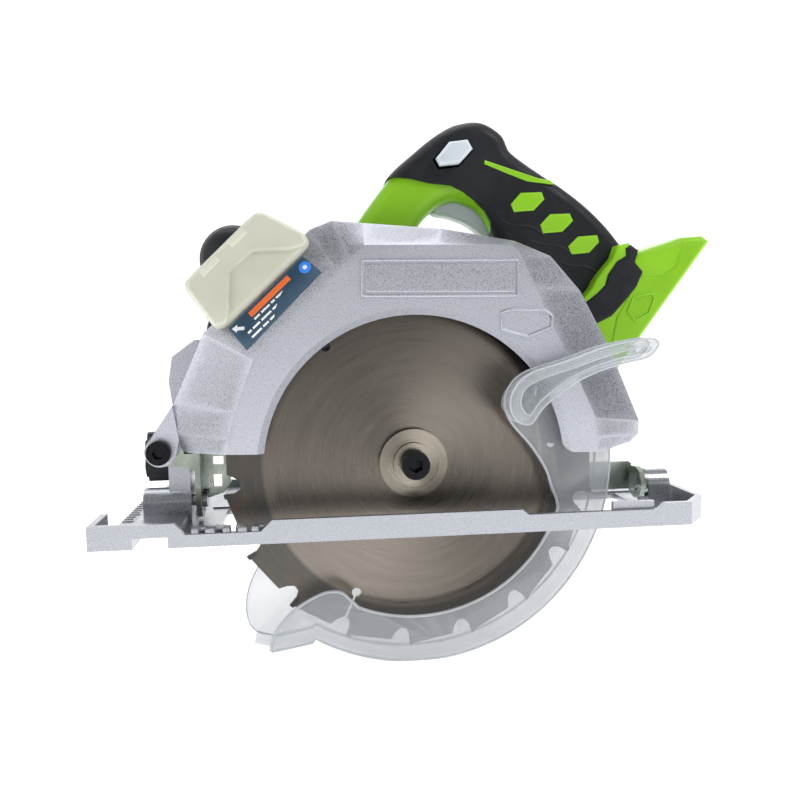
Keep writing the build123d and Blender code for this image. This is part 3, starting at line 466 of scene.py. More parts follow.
def ring_coordinates(p):
    """(radius, angle) about the arbor, as two outputs."""
    split = p.node("ShaderNodeSeparateXYZ")
    p.join(p.coords, split.inputs[0])
    x = split.outputs["X"]
    z = p.math("SUBTRACT", split.outputs["Z"], ARBOR_Z * MM)
    radius = p.math("SQRT", p.math("ADD", p.math("MULTIPLY", x, x), p.math("MULTIPLY", z, z)))
    return radius, p.math("ARCTAN2", z, x)


def turned_steel(name, color, rough, bands=None, grain=2600.0, depth=0.00003):
    """Steel ground in rings about the arbor, with slow cloudy patches, and a painted highlight along one diameter
    with painted shade across it.
    """
    p = Paint(name, color, rough, 1.0, Anisotropic=0.8)
    radius, angle = ring_coordinates(p)
    rings = p.node("ShaderNodeCombineXYZ")
    p.join(p.math("MULTIPLY", radius, grain), rings.inputs["X"])
    p.join(p.math("MULTIPLY", angle, 2.2), rings.inputs["Y"])
    scratch = p.noise(1.0, 4.0, 0.65, vector=rings.outputs[0])
    broad = p.node("ShaderNodeCombineXYZ")
    p.join(p.math("MULTIPLY", radius, grain * 0.12), broad.inputs["X"])
    p.join(p.math("MULTIPLY", angle, 1.3), broad.inputs["Y"])
    streak = p.noise(1.0, 3.0, 0.6, vector=broad.outputs[0])
    base = p.mix(p.spread(scratch, 0.3, 0.7), shade(color, 0.82), shade(color, 1.14))
    base = p.mix(p.spread(streak, 0.35, 0.7), base, shade(color, 0.86))
    # painted highlight along one diameter and painted shade across it, standing in for the bright streaks that the
    # lamps make on the ground steel
    highlight_wave = p.math("COSINE", p.math("MULTIPLY", p.math("SUBTRACT", angle, 0.80), 2.0))
    highlight_wave = p.math("ADD", highlight_wave, p.math("MULTIPLY", p.math("SUBTRACT", streak, 0.5), 1.6))
    painted_shade = p.mix(0.55, base, shade(color, 0.38))
    painted_highlight = p.mix(0.4, base, shade(color, 2.1))
    base = p.mix(p.spread(highlight_wave, -1.1, 1.1), painted_shade, painted_highlight)
    if bands:
        mask = p.spread(radius, bands[0], bands[1])
        base = p.mix(p.math("MULTIPLY", mask, 0.8), base, bands[2])
        rust = p.spread(p.noise(90, 5.0, 0.7), 0.52, 0.72)
        rust = p.math("MULTIPLY", rust, p.spread(radius, *RUST_RADII))
        base = p.mix(p.math("MULTIPLY", rust, 0.55), base, RUST_COLOR)
    p.tint(base)
    p.roughen(p.spread(scratch, 0.3, 0.7, rough - 0.07, rough + 0.1))
    tangent = p.node("ShaderNodeTangent", direction_type="RADIAL", axis="Y")
    p.join(tangent.outputs[0], p.shader.inputs["Tangent"])
    p.bump(scratch, depth, 0.5)
    return p.mat


def clear_plastic(name, color, alpha, rough=0.12):
    p = Paint(name, color, rough, 0.0, Specular_IOR_Level=0.6, Alpha=alpha, IOR=1.58)
    haze = p.noise(30, 4.0)
    p.tint(p.mix(p.spread(haze, 0.35, 0.7), color, shade(color, 0.9)))
    p.roughen(p.spread(p.noise(160, 4.0), 0.3, 0.7, rough - 0.04, rough + 0.14))
    p.bump(p.noise(120, 3.0), 0.0002, 0.12)
    return p.mat


# the blade darkens from the first radius to the second, in metres, to this colour
OUTER_BAND = (0.0715, 0.0735, (0.085, 0.082, 0.078))
RUST_RADII = (0.076, 0.088)
RUST_COLOR = (0.30, 0.13, 0.05)
M = {
    "cast_aluminium": sparkle_paint("cast_silver", (0.37, 0.38, 0.42), 2100, 0.38),
    "base_aluminium": sparkle_paint("sole_silver", (0.29, 0.30, 0.325), 2200, 0.30, 0.25),
    "blade_steel": turned_steel("blade_steel", (0.19, 0.168, 0.146), 0.30, OUTER_BAND),
    "carbide": metal("carbide", (0.09, 0.09, 0.09), 0.38),
    "flange_steel": turned_steel("flange_steel", (0.30, 0.27, 0.225), 0.30, grain=1800.0),
    "black_steel": metal("black_steel", (0.02, 0.02, 0.022), 0.32, dirt=0.3),
    "zinc_steel": metal("zinc_steel", (0.36, 0.40, 0.35), 0.27, (1, 4, 1), 500),
    "bright_steel": metal("bright_steel", (0.55, 0.56, 0.57), 0.25),
    "green_plastic": moulded_plastic("green_plastic", (0.24, 0.54, 0.008), 0.38),
    "black_rubber": soft_rubber("black_rubber", (0.0065, 0.0075, 0.011), 0.5),
    "black_plastic": moulded_plastic("black_plastic", (0.016, 0.017, 0.02), 0.45),
    "grey_plastic": moulded_plastic("grey_plastic", (0.60, 0.66, 0.71), 0.38),
    "clear_guard": clear_plastic("clear_guard", (0.62, 0.65, 0.69), 0.34),
    "milky_plastic": moulded_plastic("milky_plastic", (0.56, 0.56, 0.465), 0.36),
    "label": moulded_plastic("label", (0.03, 0.075, 0.13), 0.35),
    "copper": metal("copper", (0.72, 0.34, 0.16), 0.3),
    "brass": metal("brass", (0.70, 0.52, 0.22), 0.3),
    "magnet_steel": metal("magnet_steel", (0.10, 0.10, 0.11), 0.5),
    "laser_glass": clear_plastic("laser_glass", (0.35, 0.02, 0.02), 0.6, 0.05),
}
KEEPS_ITS_SHADING = ("saw_blade", "carbide_tips", "drive_gear", "pinion")
EDGE_WIDTHS = {"upper_guard": 1.6, "base_plate": 0.7, "gear_housing": 0.8, "front_bracket": 0.4}
node_slot = {s["node"]: s["material_slot"] for s in frame["record"]["subparts"]}
for name, obj in nodes.items():
    obj.data.materials.clear()
    obj.data.materials.append(M[node_slot[name]])
    if name not in KEEPS_ITS_SHADING:
        obj.data.shade_flat()
for name, width in EDGE_WIDTHS.items():
    bevel(nodes[name], width, 3, 25)


# ---- handle -------------------------------------------------------------------------------
NEAR = 28.0               # near and far side of the handle
FAR = 62.0
MIDDLE = (NEAR + FAR) / 2
FOOT_NEAR = 18.0          # the foot and the collar are wider
FOOT_FAR = 2 * MIDDLE - FOOT_NEAR
FOOT_WALL = 3.0
COLLAR_NEAR = 16.6
FACET_NEAR, FACET_THICK = 17.3, 3.0
BADGE_NEAR, BADGE_THICK = 16.6, 1.5
TRIM_NEAR, TRIM_THICK = NEAR - 2.1, 5.0
TRIGGER_NEAR, TRIGGER_FAR = 38.6, 51.4
TRIGGER_ROOM = 7.5        # half width of the trigger's slot
BUTTON = (26.6, 182.4)
BUTTON_HOLE_R = 5.3
BUTTON_STEM_R = 5.1
BUTTON_CAP = [(17.3, 179.2), (24.2, 187.4), (33.6, 188.6), (36.2, 184.0), (29.4, 176.6), (19.4, 175.4)]
CAP_DEPTHS = ((21.0, 25.9), (62.4, 64.8))    # y of the near cap's faces, and of the far cap's
WELL_FLOOR = 30.2         # y of the bottom of the well that the near cap sinks into
HANDLE = [(-45, 84, "c"), (-43, 104), (-36.3, 127), (-21.2, 150.4), (-14.5, 159.5), (-3.6, 173.2),
          (7.6, 183), (20.3, 192.8), (30.3, 197.7), (42.5, 198.7), (52.8, 192.8), (57.7, 184),
          (74.7, 172.3), (85, 166), (98.2, 156.2), (109.4, 145.6), (117.4, 136, "c"), (121, 118),
          (104, 92), (92, 62, "c"), (64, 62, "c"), (40, 66, "c"), (-34, 66, "c")]
FINGER_GAP = [(4.8, 107.6), (3, 123), (7.8, 144), (15.6, 153.7), (22.5, 158), (30.3, 159.2),
              (40.6, 154.6), (47, 145), (54, 129), (65.5, 114.5), (81, 102), (88, 90), (70, 84),
              (38, 88), (18.5, 96)]
FOOT = [(110, 124), (122.8, 131.8), (134, 135.2), (146.3, 139.2), (157.5, 140.0), (161.8, 137.0),
        (105, 61.5), (92, 62.5), (94, 86)]
FOOT_FACET = [(122.9, 119.0), (134.8, 119.0), (142.1, 124.1), (147.0, 137.3), (156.6, 138.2),
              (159.4, 136.4), (113.8, 75.2), (106.5, 79), (110.5, 98)]
BATTERY_BAY = [(112.6, 65.5), (157.9, 126.5), (148.2, 133.7), (102.9, 72.7)]
FOOT_BADGE = [(115.8, 100.8), (118.9, 108.4), (129.2, 110.4), (131.2, 108.0), (128.0, 99.6),
              (120.5, 95.6)]
# the black rubber covers the part of the handle inside this line
GRIP_REGION = [(-40, 174.6), (-4.3, 171.1), (5.7, 169.8), (14.0, 167.8), (25.6, 166.6), (32.2, 163.5),
               (37.9, 159.6), (43.7, 154.2), (46.9, 148.7), (48.0, 141.9), (44.0, 140.5), (36, 120),
               (70, 96), (97, 92), (107, 108), (113, 122), (118.5, 134), (125, 150), (70, 220), (-40, 220)]
COLLAR = [(114.8, 133.6), (115.1, 129.7), (110.3, 127.0), (105.4, 120.1), (104.0, 114.8), (99.7, 110.6),
          (94.0, 106.3), (92.0, 97.0), (100.5, 95.0), (108.4, 98.8), (121.3, 113.1), (124.8, 121.4),
          (120.5, 126.2), (122.3, 132.4), (118.0, 135.4)]
WINDOWS = [((56.7, 157.1), (62.0, 163.0), (73.3, 163.4), (74.7, 159.6), (69.0, 153.8), (58.4, 153.0)),
           ((72.3, 146.6), (77.6, 152.1), (88.3, 152.5), (90.1, 148.6), (84.3, 142.9), (73.7, 142.1)),
           ((87.3, 135.5), (92.7, 140.6), (103.1, 141.3), (104.3, 137.5), (98.8, 132.0), (89.1, 131.1))]
ACCENT = [(43.2, 179.4), (57.2, 174.9), (72.1, 170.2), (78.0, 169.4), (79.5, 167.2), (65.7, 168.6),
          (54.4, 172.8), (43.0, 177.3)]
RING = [(111.5, 135.2), (109.1, 128.8), (103.4, 122.1), (99.8, 117.6), (97.7, 113.5), (92.5, 107.5),
        (94.8, 104.8), (102.5, 109.8), (106.8, 113.9), (108.2, 119.3), (113.2, 126.2), (118.0, 128.9),
        (117.5, 136.4)]
WELT_STARTS = [(52.5, 148.5), (68.0, 138.5), (83.0, 127.5)]
WELT_R = 0.55


def both_sides(y, thick):
    """The (y0, y1) of a layer that stands on the near side at y, and of its mirror image."""
    return (y, y + thick), (2 * MIDDLE - y - thick, 2 * MIDDLE - y)


def cut_controls(obj):
    """Room for the trigger and the lock-off button."""
    mouth = [(13, 150), (15, 169), (34, 173), (58, 160), (68, 128), (50, 118), (44, 142), (30, 152)]
    well = moved_in(turned(BUTTON_CAP, False), -0.8)
    return cut(obj, prism("mouth", mouth, MIDDLE - TRIGGER_ROOM, MIDDLE + TRIGGER_ROOM),
               prism("bore", circle(BUTTON, BUTTON_HOLE_R), 0, 2 * MIDDLE),
               prism("well", well, 10, WELL_FLOOR))


def build_shell():
    gap = curve_through(FINGER_GAP, 5)
    body = cut_controls(pillow("handle_body", curve_through(HANDLE, 5), NEAR, FAR, 7.5, 8.5, [gap]))
    foot = pillow("handle_foot", FOOT, FOOT_NEAR, FOOT_FAR, 2.8, 4.0, steps=3)
    cut(foot, prism("bay", BATTERY_BAY, FOOT_NEAR + FOOT_WALL, FOOT_FAR - FOOT_WALL))
    facets = [pillow(f"foot_facet_{i}", FOOT_FACET, y0, y1, 1.4, 0.9, steps=3)
              for i, (y0, y1) in enumerate(both_sides(FACET_NEAR, FACET_THICK))]
    shell = joined("handle_shell", [body, foot] + facets)
    piece(shell, "saw_body", M["green_plastic"])
    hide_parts("handle_shell_left", "handle_shell_right")


def build_rubber():
    """The overmould: a skin over the handle, with a collar round the foot of the grip."""
    outer = moved_in(turned(curve_through(HANDLE, 5), False), -1.0)
    gap = moved_in(turned(curve_through(FINGER_GAP, 5), False), 0.8)
    grip = cut_controls(pillow("grip", outer, NEAR - 1.5, FAR + 1.5, 7.2, 8.6, [gap]))
    cut(grip, prism("region", GRIP_REGION, 10, 80), keep_common=True)
    collar = pillow("collar", COLLAR, COLLAR_NEAR, 2 * MIDDLE - COLLAR_NEAR, 1.6, 2.6, steps=3)
    rubber = joined("grip_rubber", [grip, collar])
    piece(rubber, "saw_body", M["black_rubber"])
    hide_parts("grip_pad_left", "grip_pad_right")


def build_trims():
    """Green windows, accent lines and a ring that stand in the rubber."""
    trims = []
    for side, (y0, y1) in enumerate(both_sides(TRIM_NEAR, TRIM_THICK)):
        trims += [pillow(f"window_{side}{i}", window, y0, y1, 0.9, 0.7, steps=2)
                  for i, window in enumerate(WINDOWS)]
        trims.append(pillow(f"accent_{side}", ACCENT, y0, y1, 0.6, 0.6, steps=2))
    trims.append(pillow("ring", RING, NEAR - 10.2, FAR + 10.2, 1.3, 1.8, steps=3))
    piece(joined("grip_trim", trims), "saw_body", M["green_plastic"])


def build_welts():
    """Thin raised folds across the grip."""
    welts = []
    for side, y in enumerate((NEAR - 1.3, FAR + 1.3)):
        for k, (x, z) in enumerate(WELT_STARTS):
            line = [(x, z), (x + 6, z - 2.2), (x + 15, z - 2.8), (x + 22, z - 7.5)]
            line = curve_through(line, 4, closed=False)
            welts.append(bead(f"welt_{side}{k}", [(px, y, pz) for px, pz in line], WELT_R))
    piece(joined("grip_welts", welts), "saw_body", M["black_rubber"])


def build_foot_badges():
    inner = moved_in(turned(FOOT_BADGE, False), 0.9)
    badges = [pillow(f"badge_{i}", FOOT_BADGE, y0, y1, 0.35, 0.4, [inner], 2)
              for i, (y0, y1) in enumerate(both_sides(BADGE_NEAR, BADGE_THICK))]
    piece(joined("foot_badges", badges), "saw_body", M["green_plastic"])


def build_controls():
    outline = [(17, 158.5), (16.5, 164.5), (21, 168), (34, 167), (47, 158), (54, 146), (58, 130),
               (53.5, 127), (50.5, 132), (46.5, 140), (38, 148), (27, 152.5), (19, 154)]
    trigger = pillow("trigger_blade", curve_through(outline, 4), TRIGGER_NEAR, TRIGGER_FAR, 2.6, 3.2)
    piece(trigger, "trigger_body", M["grey_plastic"])
    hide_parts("trigger")
    caps = [pillow(f"cap_{i}", BUTTON_CAP, y0, y1, 1.8, 1.5, steps=3)
            for i, (y0, y1) in enumerate(CAP_DEPTHS)]
    stem = lathe("stem", [(23, BUTTON_STEM_R), (64, BUTTON_STEM_R)], BUTTON)
    button = joined("lock_button", caps + [stem])
    piece(button, "lock_off", M["grey_plastic"])
    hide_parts("lock_off_button")


# ---- front knob and laser -----------------------------------------------------------------
KNOB = (-85.0, 130.0)
LASER_NEAR, LASER_FAR = -19.4, 12.8
LASER_BAND_NEAR = -21.4


def build_front_knob():
    profile = [(17.4, 5), (17.9, 9), (19.5, 12.5), (22.5, 15), (27, 16.3), (34, 16.7), (44, 16.4),
               (52, 15.6), (58, 13.8), (62, 11), (64, 7), (64.8, 3)]
    knob = lathe("knob", profile, KNOB)
    neck = curve_through([(-98, 91), (-97, 104), (-96, 124), (-74, 124), (-70, 104), (-72, 91)], 4)
    stem = pillow("stem", neck, 19, 45, 5, 6)
    ribs = [bead(f"rib_{k}", [(x, y, z) for x, z in circle(KNOB, r, 40)], 0.55, True)
            for k, (y, r) in enumerate(((30, 16.6), (35, 16.75), (40, 16.7), (45, 16.4)))]
    grip = joined("front_grip", [knob, stem] + ribs)
    piece(grip, "saw_body", M["black_rubber"])
    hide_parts("front_knob")


def build_laser_cover():
    """A low box with a raised band round two of its sides, and two plain tabs on its upper edge."""
    outline = [(-102.3, 116.6), (-87, 131.5), (-71.8, 145.8), (-67.5, 146.3), (-58, 141.6),
               (-50.3, 137.4), (-47.6, 133.7), (-49.0, 130.1), (-67, 113.2), (-85.0, 96.4),
               (-88.7, 94.8), (-91.4, 96.0), (-97, 104), (-102.9, 112.5)]
    low = pillow("low", curve_through(outline, 3), LASER_NEAR, LASER_FAR, 3.0, 4.0)
    band = [(-88.6, 95.6), (-84.6, 97.4), (-83.4, 103.3), (-82.4, 119.6), (-71.9, 128.4),
            (-55.0, 129.2), (-49.6, 131.0), (-48.2, 133.6), (-50.6, 136.8), (-67.5, 145.5),
            (-71.4, 145.2), (-101.6, 116.4), (-102.1, 112.6), (-91.0, 96.6)]
    raised = pillow("raised", band, LASER_BAND_NEAR, -10.0, 1.8, 2.4, steps=4)
    outlines = [[(-96.2, 119.9), (-88.6, 127.0), (-86.4, 124.8), (-94.0, 117.6)],
                [(-83.4, 132.4), (-76.4, 139.0), (-74.2, 136.8), (-81.2, 130.2)]]
    tabs = [pillow(f"tab_{i}", tab, -21.8, -8, 0.7, 0.7, steps=2) for i, tab in enumerate(outlines)]
    cover = joined("laser_cover", [low, raised] + tabs)
    piece(cover, "saw_body", M["milky_plastic"])
    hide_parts("laser_housing")


# ---- label --------------------------------------------------------------------------------
RULE_LENGTHS = (3.4, 5.2, 2.2, 4.3, 6.1)


def build_label():
    """Plain marks on the blue plate: a bar, a disc, an arrow and white rules. No words."""
    corner = Vector((-97, -7, 93))
    along = (Vector((-47, -7, 140)) - corner).normalized()
    down = Vector((-74, -19, 80.6)) - corner
    down = (down - along * down.dot(along)).normalized()
    out = along.cross(down)
    out = out if out.y < 0 else -out

    def mark(name, outline, high, color):
        """A flat mark on the plate; its outline is (along, down) from the plate's corner."""
        base = [corner + along * s + down * t + out * 0.35 for s, t in outline]
        top = [p + out * high for p in base]
        n = len(base)
        faces = [list(range(n)), list(range(n, 2 * n))[::-1]]
        faces += [(i, (i + 1) % n, n + (i + 1) % n, n + i) for i in range(n)]
        obj = mesh_object(name, [p * MM for p in base + top], faces)
        return piece(obj, "saw_body", color)

    def bar(s0, s1, t0, t1):
        return [(s0, t0), (s1, t0), (s1, t1), (s0, t1)]

    white = moulded_plastic("print_white", (0.78, 0.80, 0.82), 0.4)
    orange = moulded_plastic("print_orange", (0.86, 0.16, 0.03), 0.4)
    mark("label_bar", bar(21.3, 46.2, 9.0, 11.9), 0.22, orange)
    blue = moulded_plastic("print_blue", (0.03, 0.22, 0.80), 0.4)
    disc = (54.5, 12.6)
    mark("label_disc", circle(disc, 2.9), 0.45, blue)
    mark("label_disc_dot", circle(disc, 1.1, 16), 0.55, white)
    turn = radians(-43)
    shape = [(-3.1, 0), (-0.6, -1.9), (-0.6, -0.8), (3.0, -0.8), (3.0, 0.8), (-0.6, 0.8), (-0.6, 1.9)]
    arrow = [(13.2 + u * cos(turn) - w * sin(turn), 11.2 - u * sin(turn) - w * cos(turn))
             for u, w in shape]
    mark("label_arrow", arrow, 0.22, white)
    for row, t in enumerate((13.0, 15.9, 18.8)):
        s = 21.5 if row == 0 else 15.0
        k = row * 2
        while s < 53:
            length = RULE_LENGTHS[k % 5]
            mark(f"label_rule_{row}_{k}", bar(s, min(s + length, 56), t, t + 1.05), 0.2, white)
            s += length + 1.0
            k += 1


# ---- marks cast into the upper guard ------------------------------------------------------
GUARD_FACE_Y = -19.0


def rounded(loop, radius):
    """The loop with each corner turned into a short curve."""
    made = []
    for before, here, after in zip(loop[-1:] + loop[:-1], loop, loop[1:] + loop[:1]):
        h = Vector(here)
        a = h + (Vector(before) - h).normalized() * radius
        b = h + (Vector(after) - h).normalized() * radius
        made += [tuple(a * (1 - t) ** 2 + h * 2 * t * (1 - t) + b * t * t)
                 for t in (0, 0.25, 0.5, 0.75, 1)]
    return made


def raised_line(name, loop, width=1.3):
    loop = turned(loop, False)
    inner = moved_in(loop, width)
    return pillow(name, loop, GUARD_FACE_Y - 0.9, GUARD_FACE_Y + 1, 0.4, 0.6, [inner], 2)


def build_castings():
    """A plain frame with a flat plate in it, and a plain badge."""
    frame_outline = [(-24.5, 125.4), (49.0, 125.2), (49.0, 107.5), (-24.9, 108.2)]
    plate_outline = [(-22.3, 123.2), (46.8, 123.0), (46.8, 109.7), (-22.7, 110.4)]
    badge = [(39.4, 100.8), (44.0, 102.4), (61.5, 101.8), (65.6, 98.8), (64.6, 92.9), (52.8, 88.4),
             (40.0, 92.0)]
    plate = pillow("frame_plate", rounded(plate_outline, 1.5), GUARD_FACE_Y - 0.3, GUARD_FACE_Y + 1,
                   0.4, 0.3, steps=2)
    marks = [raised_line("frame_line", rounded(frame_outline, 2.0)), plate,
             raised_line("badge_line", rounded(badge, 1.2))]
    piece(joined("cast_marks", marks), "saw_body", M["cast_aluminium"])


# ---- lower guard --------------------------------------------------------------------------
RIM_R = 95.5
RIM_WALL = 1.8
COVER_OUT, COVER_IN = -12.0, -10.4    # faces of the near side plate
BACK_IN, BACK_OUT = 7.0, 8.7          # faces of the far side plate
RIM_A0, RIM_A1 = 36, -121             # the rim's ends, in degrees round the arbor
NOSE = [(-70.5, -57.5), (-69.5, -52), (-65, -44.5), (-59, -38.5), (-52, -34), (-44, -30.6), (-37, -30.7),
        (-32.5, -34.5), (-28.5, -38.6)]
CHEEK = [(69.6, 6.5), (68.8, 10.5), (66.5, 15.9), (63.8, 24.7), (56.3, 36.7), (46.8, 48.0), (43.0, 56.5)]
LOBE = [(-70, -57.2), (-78, -54.8), (-82, -49), (-82.8, -40), (-80.5, -30), (-76.5, -22)]
TOE_SOLE = [(-51, -54.8), (-60, -56.4), (-70, -58.0)]
LEVER = [(40.6, 58.5), (41.5, 63.5), (45.5, 69.5), (52.5, 73.6), (67.7, 78.0), (84.7, 83.7), (99.5, 86.5),
         (107.2, 87.2), (110.2, 84.5), (105.5, 79), (92.4, 76.0), (77.6, 71.2), (66.3, 65.0), (55.9, 56.9),
         (50.5, 49.8), (45.5, 50.0), (42.0, 53.5)]
LEVER_GROOVE = [(45.5, 58.5), (47.5, 65.5), (54.5, 69.7), (69, 74.2), (86, 79.7), (99, 82.9),
                (106.3, 83.6), (105.2, 81.2), (92, 78.6), (76, 73.7), (65, 67.8), (54.8, 60.0),
                (49.5, 53.6)]
LEVER_ROOT = [(41.5, 56.5), (43.5, 64.0), (51, 68.5), (58.5, 65.5), (55, 55), (49.5, 50.5), (44.5, 52)]
LEVER_NEAR, LEVER_FAR = -34.0, -22.5
EDGE_PLASTIC = clear_plastic("clear_edge", (0.66, 0.69, 0.73), 0.80, 0.1)


def cover_opening():
    """The edge of the near side plate, from the toe round the blade to the lever."""
    nose = curve_through(NOSE, 3, closed=False)
    return nose + arc(73.5, 248, 341)[1:] + curve_through(CHEEK, 4, closed=False)


def build_lower_guard():
    rim_line = arc(RIM_R, RIM_A0, RIM_A1)
    outer = [(47, 66), (58.5, 65.6), polar(RIM_R, RIM_A0)] + rim_line[1:]
    outer += [(-51, -54.8), (-60, -56.4), (-70, -57.9)]
    cover = bevel(prism("cover", cover_opening() + outer, COVER_OUT, COVER_IN), 0.5, 2)
    rim_inner = [(-70.6, -56.2), (-60, -54.5), (-50.5, -52.8)] + arc(RIM_R - RIM_WALL, RIM_A1, RIM_A0)
    rim = bevel(prism("rim", rim_line + TOE_SOLE + rim_inner, COVER_IN, BACK_IN), 0.3, 2)
    toe_outline = [(-70, -58), (-78.6, -55.4), (-77.8, -53.8), (-70.6, -56.2)]
    toe = bevel(prism("toe", toe_outline, -6, BACK_IN), 0.3, 2)
    back_outline = curve_through(LOBE, 3, closed=False) + [(-66, -18)] + arc(62, 220, 396, 6) + rim_line
    back = bevel(prism("back", back_outline + [(-51, -54.6)], BACK_IN, BACK_OUT), 0.5, 2)
    hub = lathe("hub", [(6.2, 23.0), (10.8, 23.0), (10.8, 18.7), (6.2, 18.7), (6.2, 23.0)], (0, ARBOR_Z))
    web_outline = [polar(19, 300), polar(64, 250), polar(66, 290), polar(64, 330), polar(19, 20)]
    web = prism("web", web_outline, BACK_IN, BACK_OUT)
    guard = joined("guard_shell", [cover, rim, toe, back, hub, web])
    piece(guard, "lower_guard_body", M["clear_guard"])
    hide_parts("lower_guard_cover", "lower_guard_rim", "lower_guard_back")


def build_guard_edges():
    """Thicker edges that catch the light."""
    beads = [bead("edge_inner", [(x, COVER_OUT + 0.2, z) for x, z in cover_opening()], 0.75)]
    rim_line = arc(RIM_R, RIM_A0, RIM_A1) + TOE_SOLE
    for k, y in enumerate((COVER_OUT + 0.3, BACK_OUT - 0.3)):
        beads.append(bead(f"edge_outer_{k}", [(x, y, z) for x, z in rim_line], 0.55))
    lobe_edge = [(x, BACK_IN + 0.8, z) for x, z in curve_through(LOBE, 3, closed=False)]
    beads.append(bead("edge_lobe", lobe_edge, 0.35))
    piece(joined("guard_edges", beads), "lower_guard_body", EDGE_PLASTIC)


def build_lever():
    """The thumb lever: an open channel with a rounded root at the guard."""
    outline = curve_through(LEVER, 4)
    groove = curve_through(LEVER_GROOVE, 4)
    root = curve_through(LEVER_ROOT, 3)
    wall = pillow("lever_wall", outline, LEVER_NEAR, LEVER_FAR, 0.7, 0.7, [groove], 2)
    web = bevel(prism("lever_web", moved_in(turned(outline, False), 0.8), -24.6, -23.0), 0.3, 2)
    root_inner = moved_in(turned(root, False), 2.0)
    post = pillow("lever_root", root, -23.2, COVER_OUT + 0.2, 0.6, 0.6, [root_inner], 2)
    ribs = []
    for k, (x, z) in enumerate(((52.5, 66.0), (99.5, 84.2))):
        rib = [(x, z), (x + 1.0, z - 0.3), (x + 0.4, z - 3.8), (x - 0.6, z - 3.5)]
        ribs.append(prism(f"lever_rib_{k}", rib, -32, -24))
    edges = [bead("lever_edge_front", [(x, LEVER_NEAR + 0.4, z) for x, z in outline], 0.45, True),
             bead("lever_edge_back", [(x, LEVER_FAR - 0.4, z) for x, z in outline], 0.45, True),
             bead("lever_groove_edge", [(x, LEVER_NEAR + 0.4, z) for x, z in groove], 0.35, True),
             bead("lever_root_edge", [(x, -22.6, z) for x, z in root], 0.45, True)]
    piece(joined("lever_edges", edges), "lower_guard_body", EDGE_PLASTIC)
    piece(joined("guard_lever", [wall, web, post] + ribs), "lower_guard_body",
          clear_plastic("clear_lever", (0.66, 0.69, 0.73), 0.32, 0.10))


# ---- motor --------------------------------------------------------------------------------
def build_motor_dress():
    """Two raised bands round the motor housing, with ribs along it between them."""
    centre = (0.0, MOTOR_Z)
    bands = [lathe(f"band_{k}", [(y, 33.5), (y + 0.3, 34.7), (y + 2.7, 34.7), (y + 3.0, 33.5)], centre, 64)
             for k, y in enumerate((82.0, 116.0))]
    ribs = []
    for k in range(24):
        x, z = polar(34.0, 15 * k, *centre)
        ribs.append(bead(f"rib_{k}", [(x, 86.5, z), (x, 114.5, z)], 0.6))
    piece(joined("motor_bands", bands + ribs), "saw_body", M["black_plastic"])


# ---- base plate ---------------------------------------------------------------------------
def build_base_marks():
    """Raised lines of a scale along the front edge, and small lumps in the dip of the near rim."""
    marks = []
    x0 = -140.6
    for k in range(13):
        y = 8.0 + 5.0 * k
        x1 = x0 + (7.0 if k % 3 == 0 else 4.2)
        line = [(x0, 2.6), (x1, 2.6), (x1, 3.5), (x0, 3.5)]
        marks.append(pillow(f"mark_{k}", line, y, y + 1.1, 0.2, 0.2, steps=2))
    for k, x in enumerate((-100.5, -94.0, -87.0, -80.0, -74.5)):
        w = 2.6 if k % 2 else 2.0
        lump = [(x - w, 3.0), (x + w, 3.0), (x + w * 0.8, 8.0), (x - w * 0.8, 8.0)]
        marks.append(pillow(f"lump_{k}", lump, -33.0, -27.5, 0.8, 0.8, steps=2))
    piece(joined("scale_marks", marks), "sole", M["base_aluminium"])


# ---- camera, light and floor --------------------------------------------------------------
def place_camera():
    """The camera stands a little in front of the saw and above it, on the blade side."""
    yaw, pitch, roll = radians(-6.49), radians(-4.685), radians(-0.97)
    data = bpy.data.cameras.new("camera")
    data.lens = 36.0
    data.sensor_width = 36.0
    data.clip_start = 0.01
    camera = link(bpy.data.objects.new("camera", data))
    turn = Matrix.Rotation(yaw, 4, "Z") @ Matrix.Rotation(pi / 2 + pitch, 4, "X")
    turn = turn @ Matrix.Rotation(roll, 4, "Z")
    camera.matrix_world = Matrix.Translation((-0.0493, -0.3846, 0.0910)) @ turn
    bpy.context.scene.camera = camera


def light(name, place, target, size, power):
    data = bpy.data.lights.new(name, "AREA")
    data.shape = "RECTANGLE"
    data.size, data.size_y = size
    data.energy = power
    lamp = link(bpy.data.objects.new(name, data))
    lamp.location = place
    lamp.rotation_euler = (Vector(target) - Vector(place)).to_track_quat("-Z", "Y").to_euler()


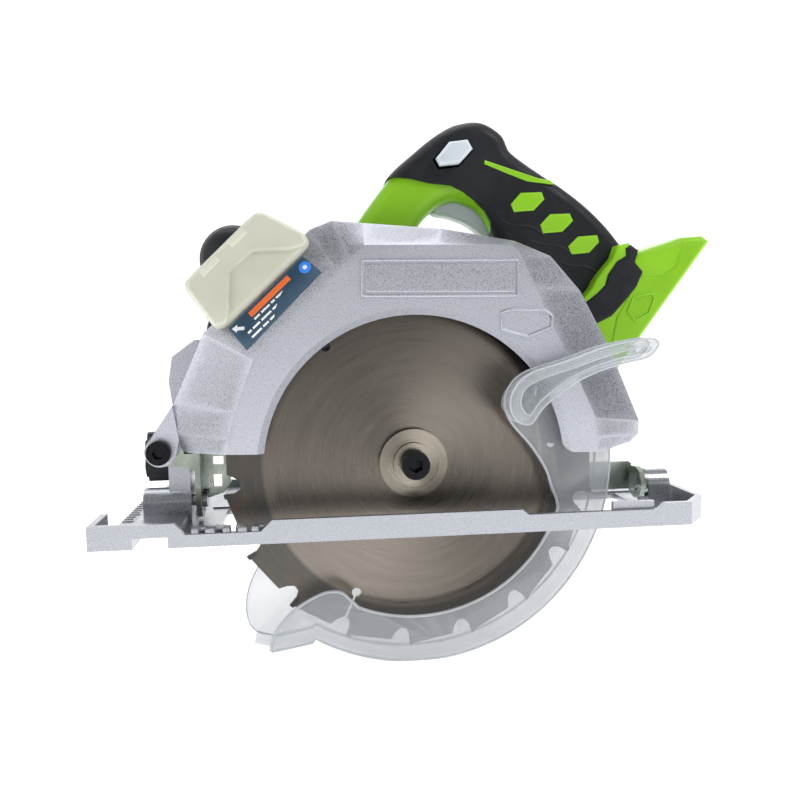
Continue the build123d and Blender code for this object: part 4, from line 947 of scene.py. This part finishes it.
def sky():
    """A pale room that is dimmer on the side the camera looks from."""
    world = bpy.data.worlds.new("studio")
    world.use_nodes = True
    tree = world.node_tree
    ramp = tree.nodes.new("ShaderNodeValToRGB")
    split = tree.nodes.new("ShaderNodeSeparateXYZ")
    coords = tree.nodes.new("ShaderNodeTexCoord")
    tree.links.new(coords.outputs["Generated"], split.inputs[0])
    tree.links.new(split.outputs["Y"], ramp.inputs["Fac"])
    low, high = ramp.color_ramp.elements
    low.position, low.color = 0.0, (0.50, 0.50, 0.51, 1)
    high.position, high.color = 0.35, (1, 1, 1, 1)
    tree.links.new(ramp.outputs["Color"], tree.nodes["Background"].inputs["Color"])
    tree.nodes["Background"].inputs["Strength"].default_value = 0.5
    bpy.context.scene.world = world


def studio():
    sky()
    bpy.context.scene.view_settings.view_transform = "Standard"
    centre = (0, 0.02, 0.06)
    light("key", (0.85, -0.65, 1.05), centre, (0.45, 0.45), 8.0)
    light("fill", (-1.1, -0.55, 0.55), centre, (0.5, 0.8), 4.0)
    light("top", (-0.1, 0.3, 1.4), centre, (1.0, 0.8), 6.5)
    light("back", (0.2, 1.3, 0.8), centre, (1.4, 0.9), 5)


def build_floor():
    """One pale sheet that curves up into a wall far behind."""
    low = CAD_BOX[0][2]
    steps = 14
    bend, back, width = 1.2, 2.6, 6.0
    turns = [pi / 2 * k / steps for k in range(steps + 1)]
    rows = [(-5.0, low)]
    rows += [(back + bend * sin(a), low + bend * (1 - cos(a))) for a in turns]
    rows.append((back + bend, low + 5.0))
    verts = [(x, y, z) for y, z in rows for x in (-width, width)]
    faces = [(2 * i, 2 * i + 1, 2 * i + 3, 2 * i + 2) for i in range(len(rows) - 1)]
    floor = mesh_object("floor", verts, faces)
    floor.data.shade_smooth()
    p = Paint("floor_paper", (0.93, 0.93, 0.93), 0.9)
    p.tint(p.mix(p.spread(p.noise(2.0, 2.0), 0.3, 0.7), (0.92, 0.92, 0.92), (0.95, 0.95, 0.95)))
    p.put("Emission Color", (1, 1, 1, 1))
    p.put("Emission Strength", 0.62)
    floor.data.materials.append(p.mat)


build_shell()
build_rubber()
build_trims()
build_welts()
build_foot_badges()
build_controls()
build_front_knob()
build_laser_cover()
build_label()
build_castings()
build_lower_guard()
build_guard_edges()
build_lever()
build_motor_dress()
build_base_marks()
place_camera()
studio()
build_floor()
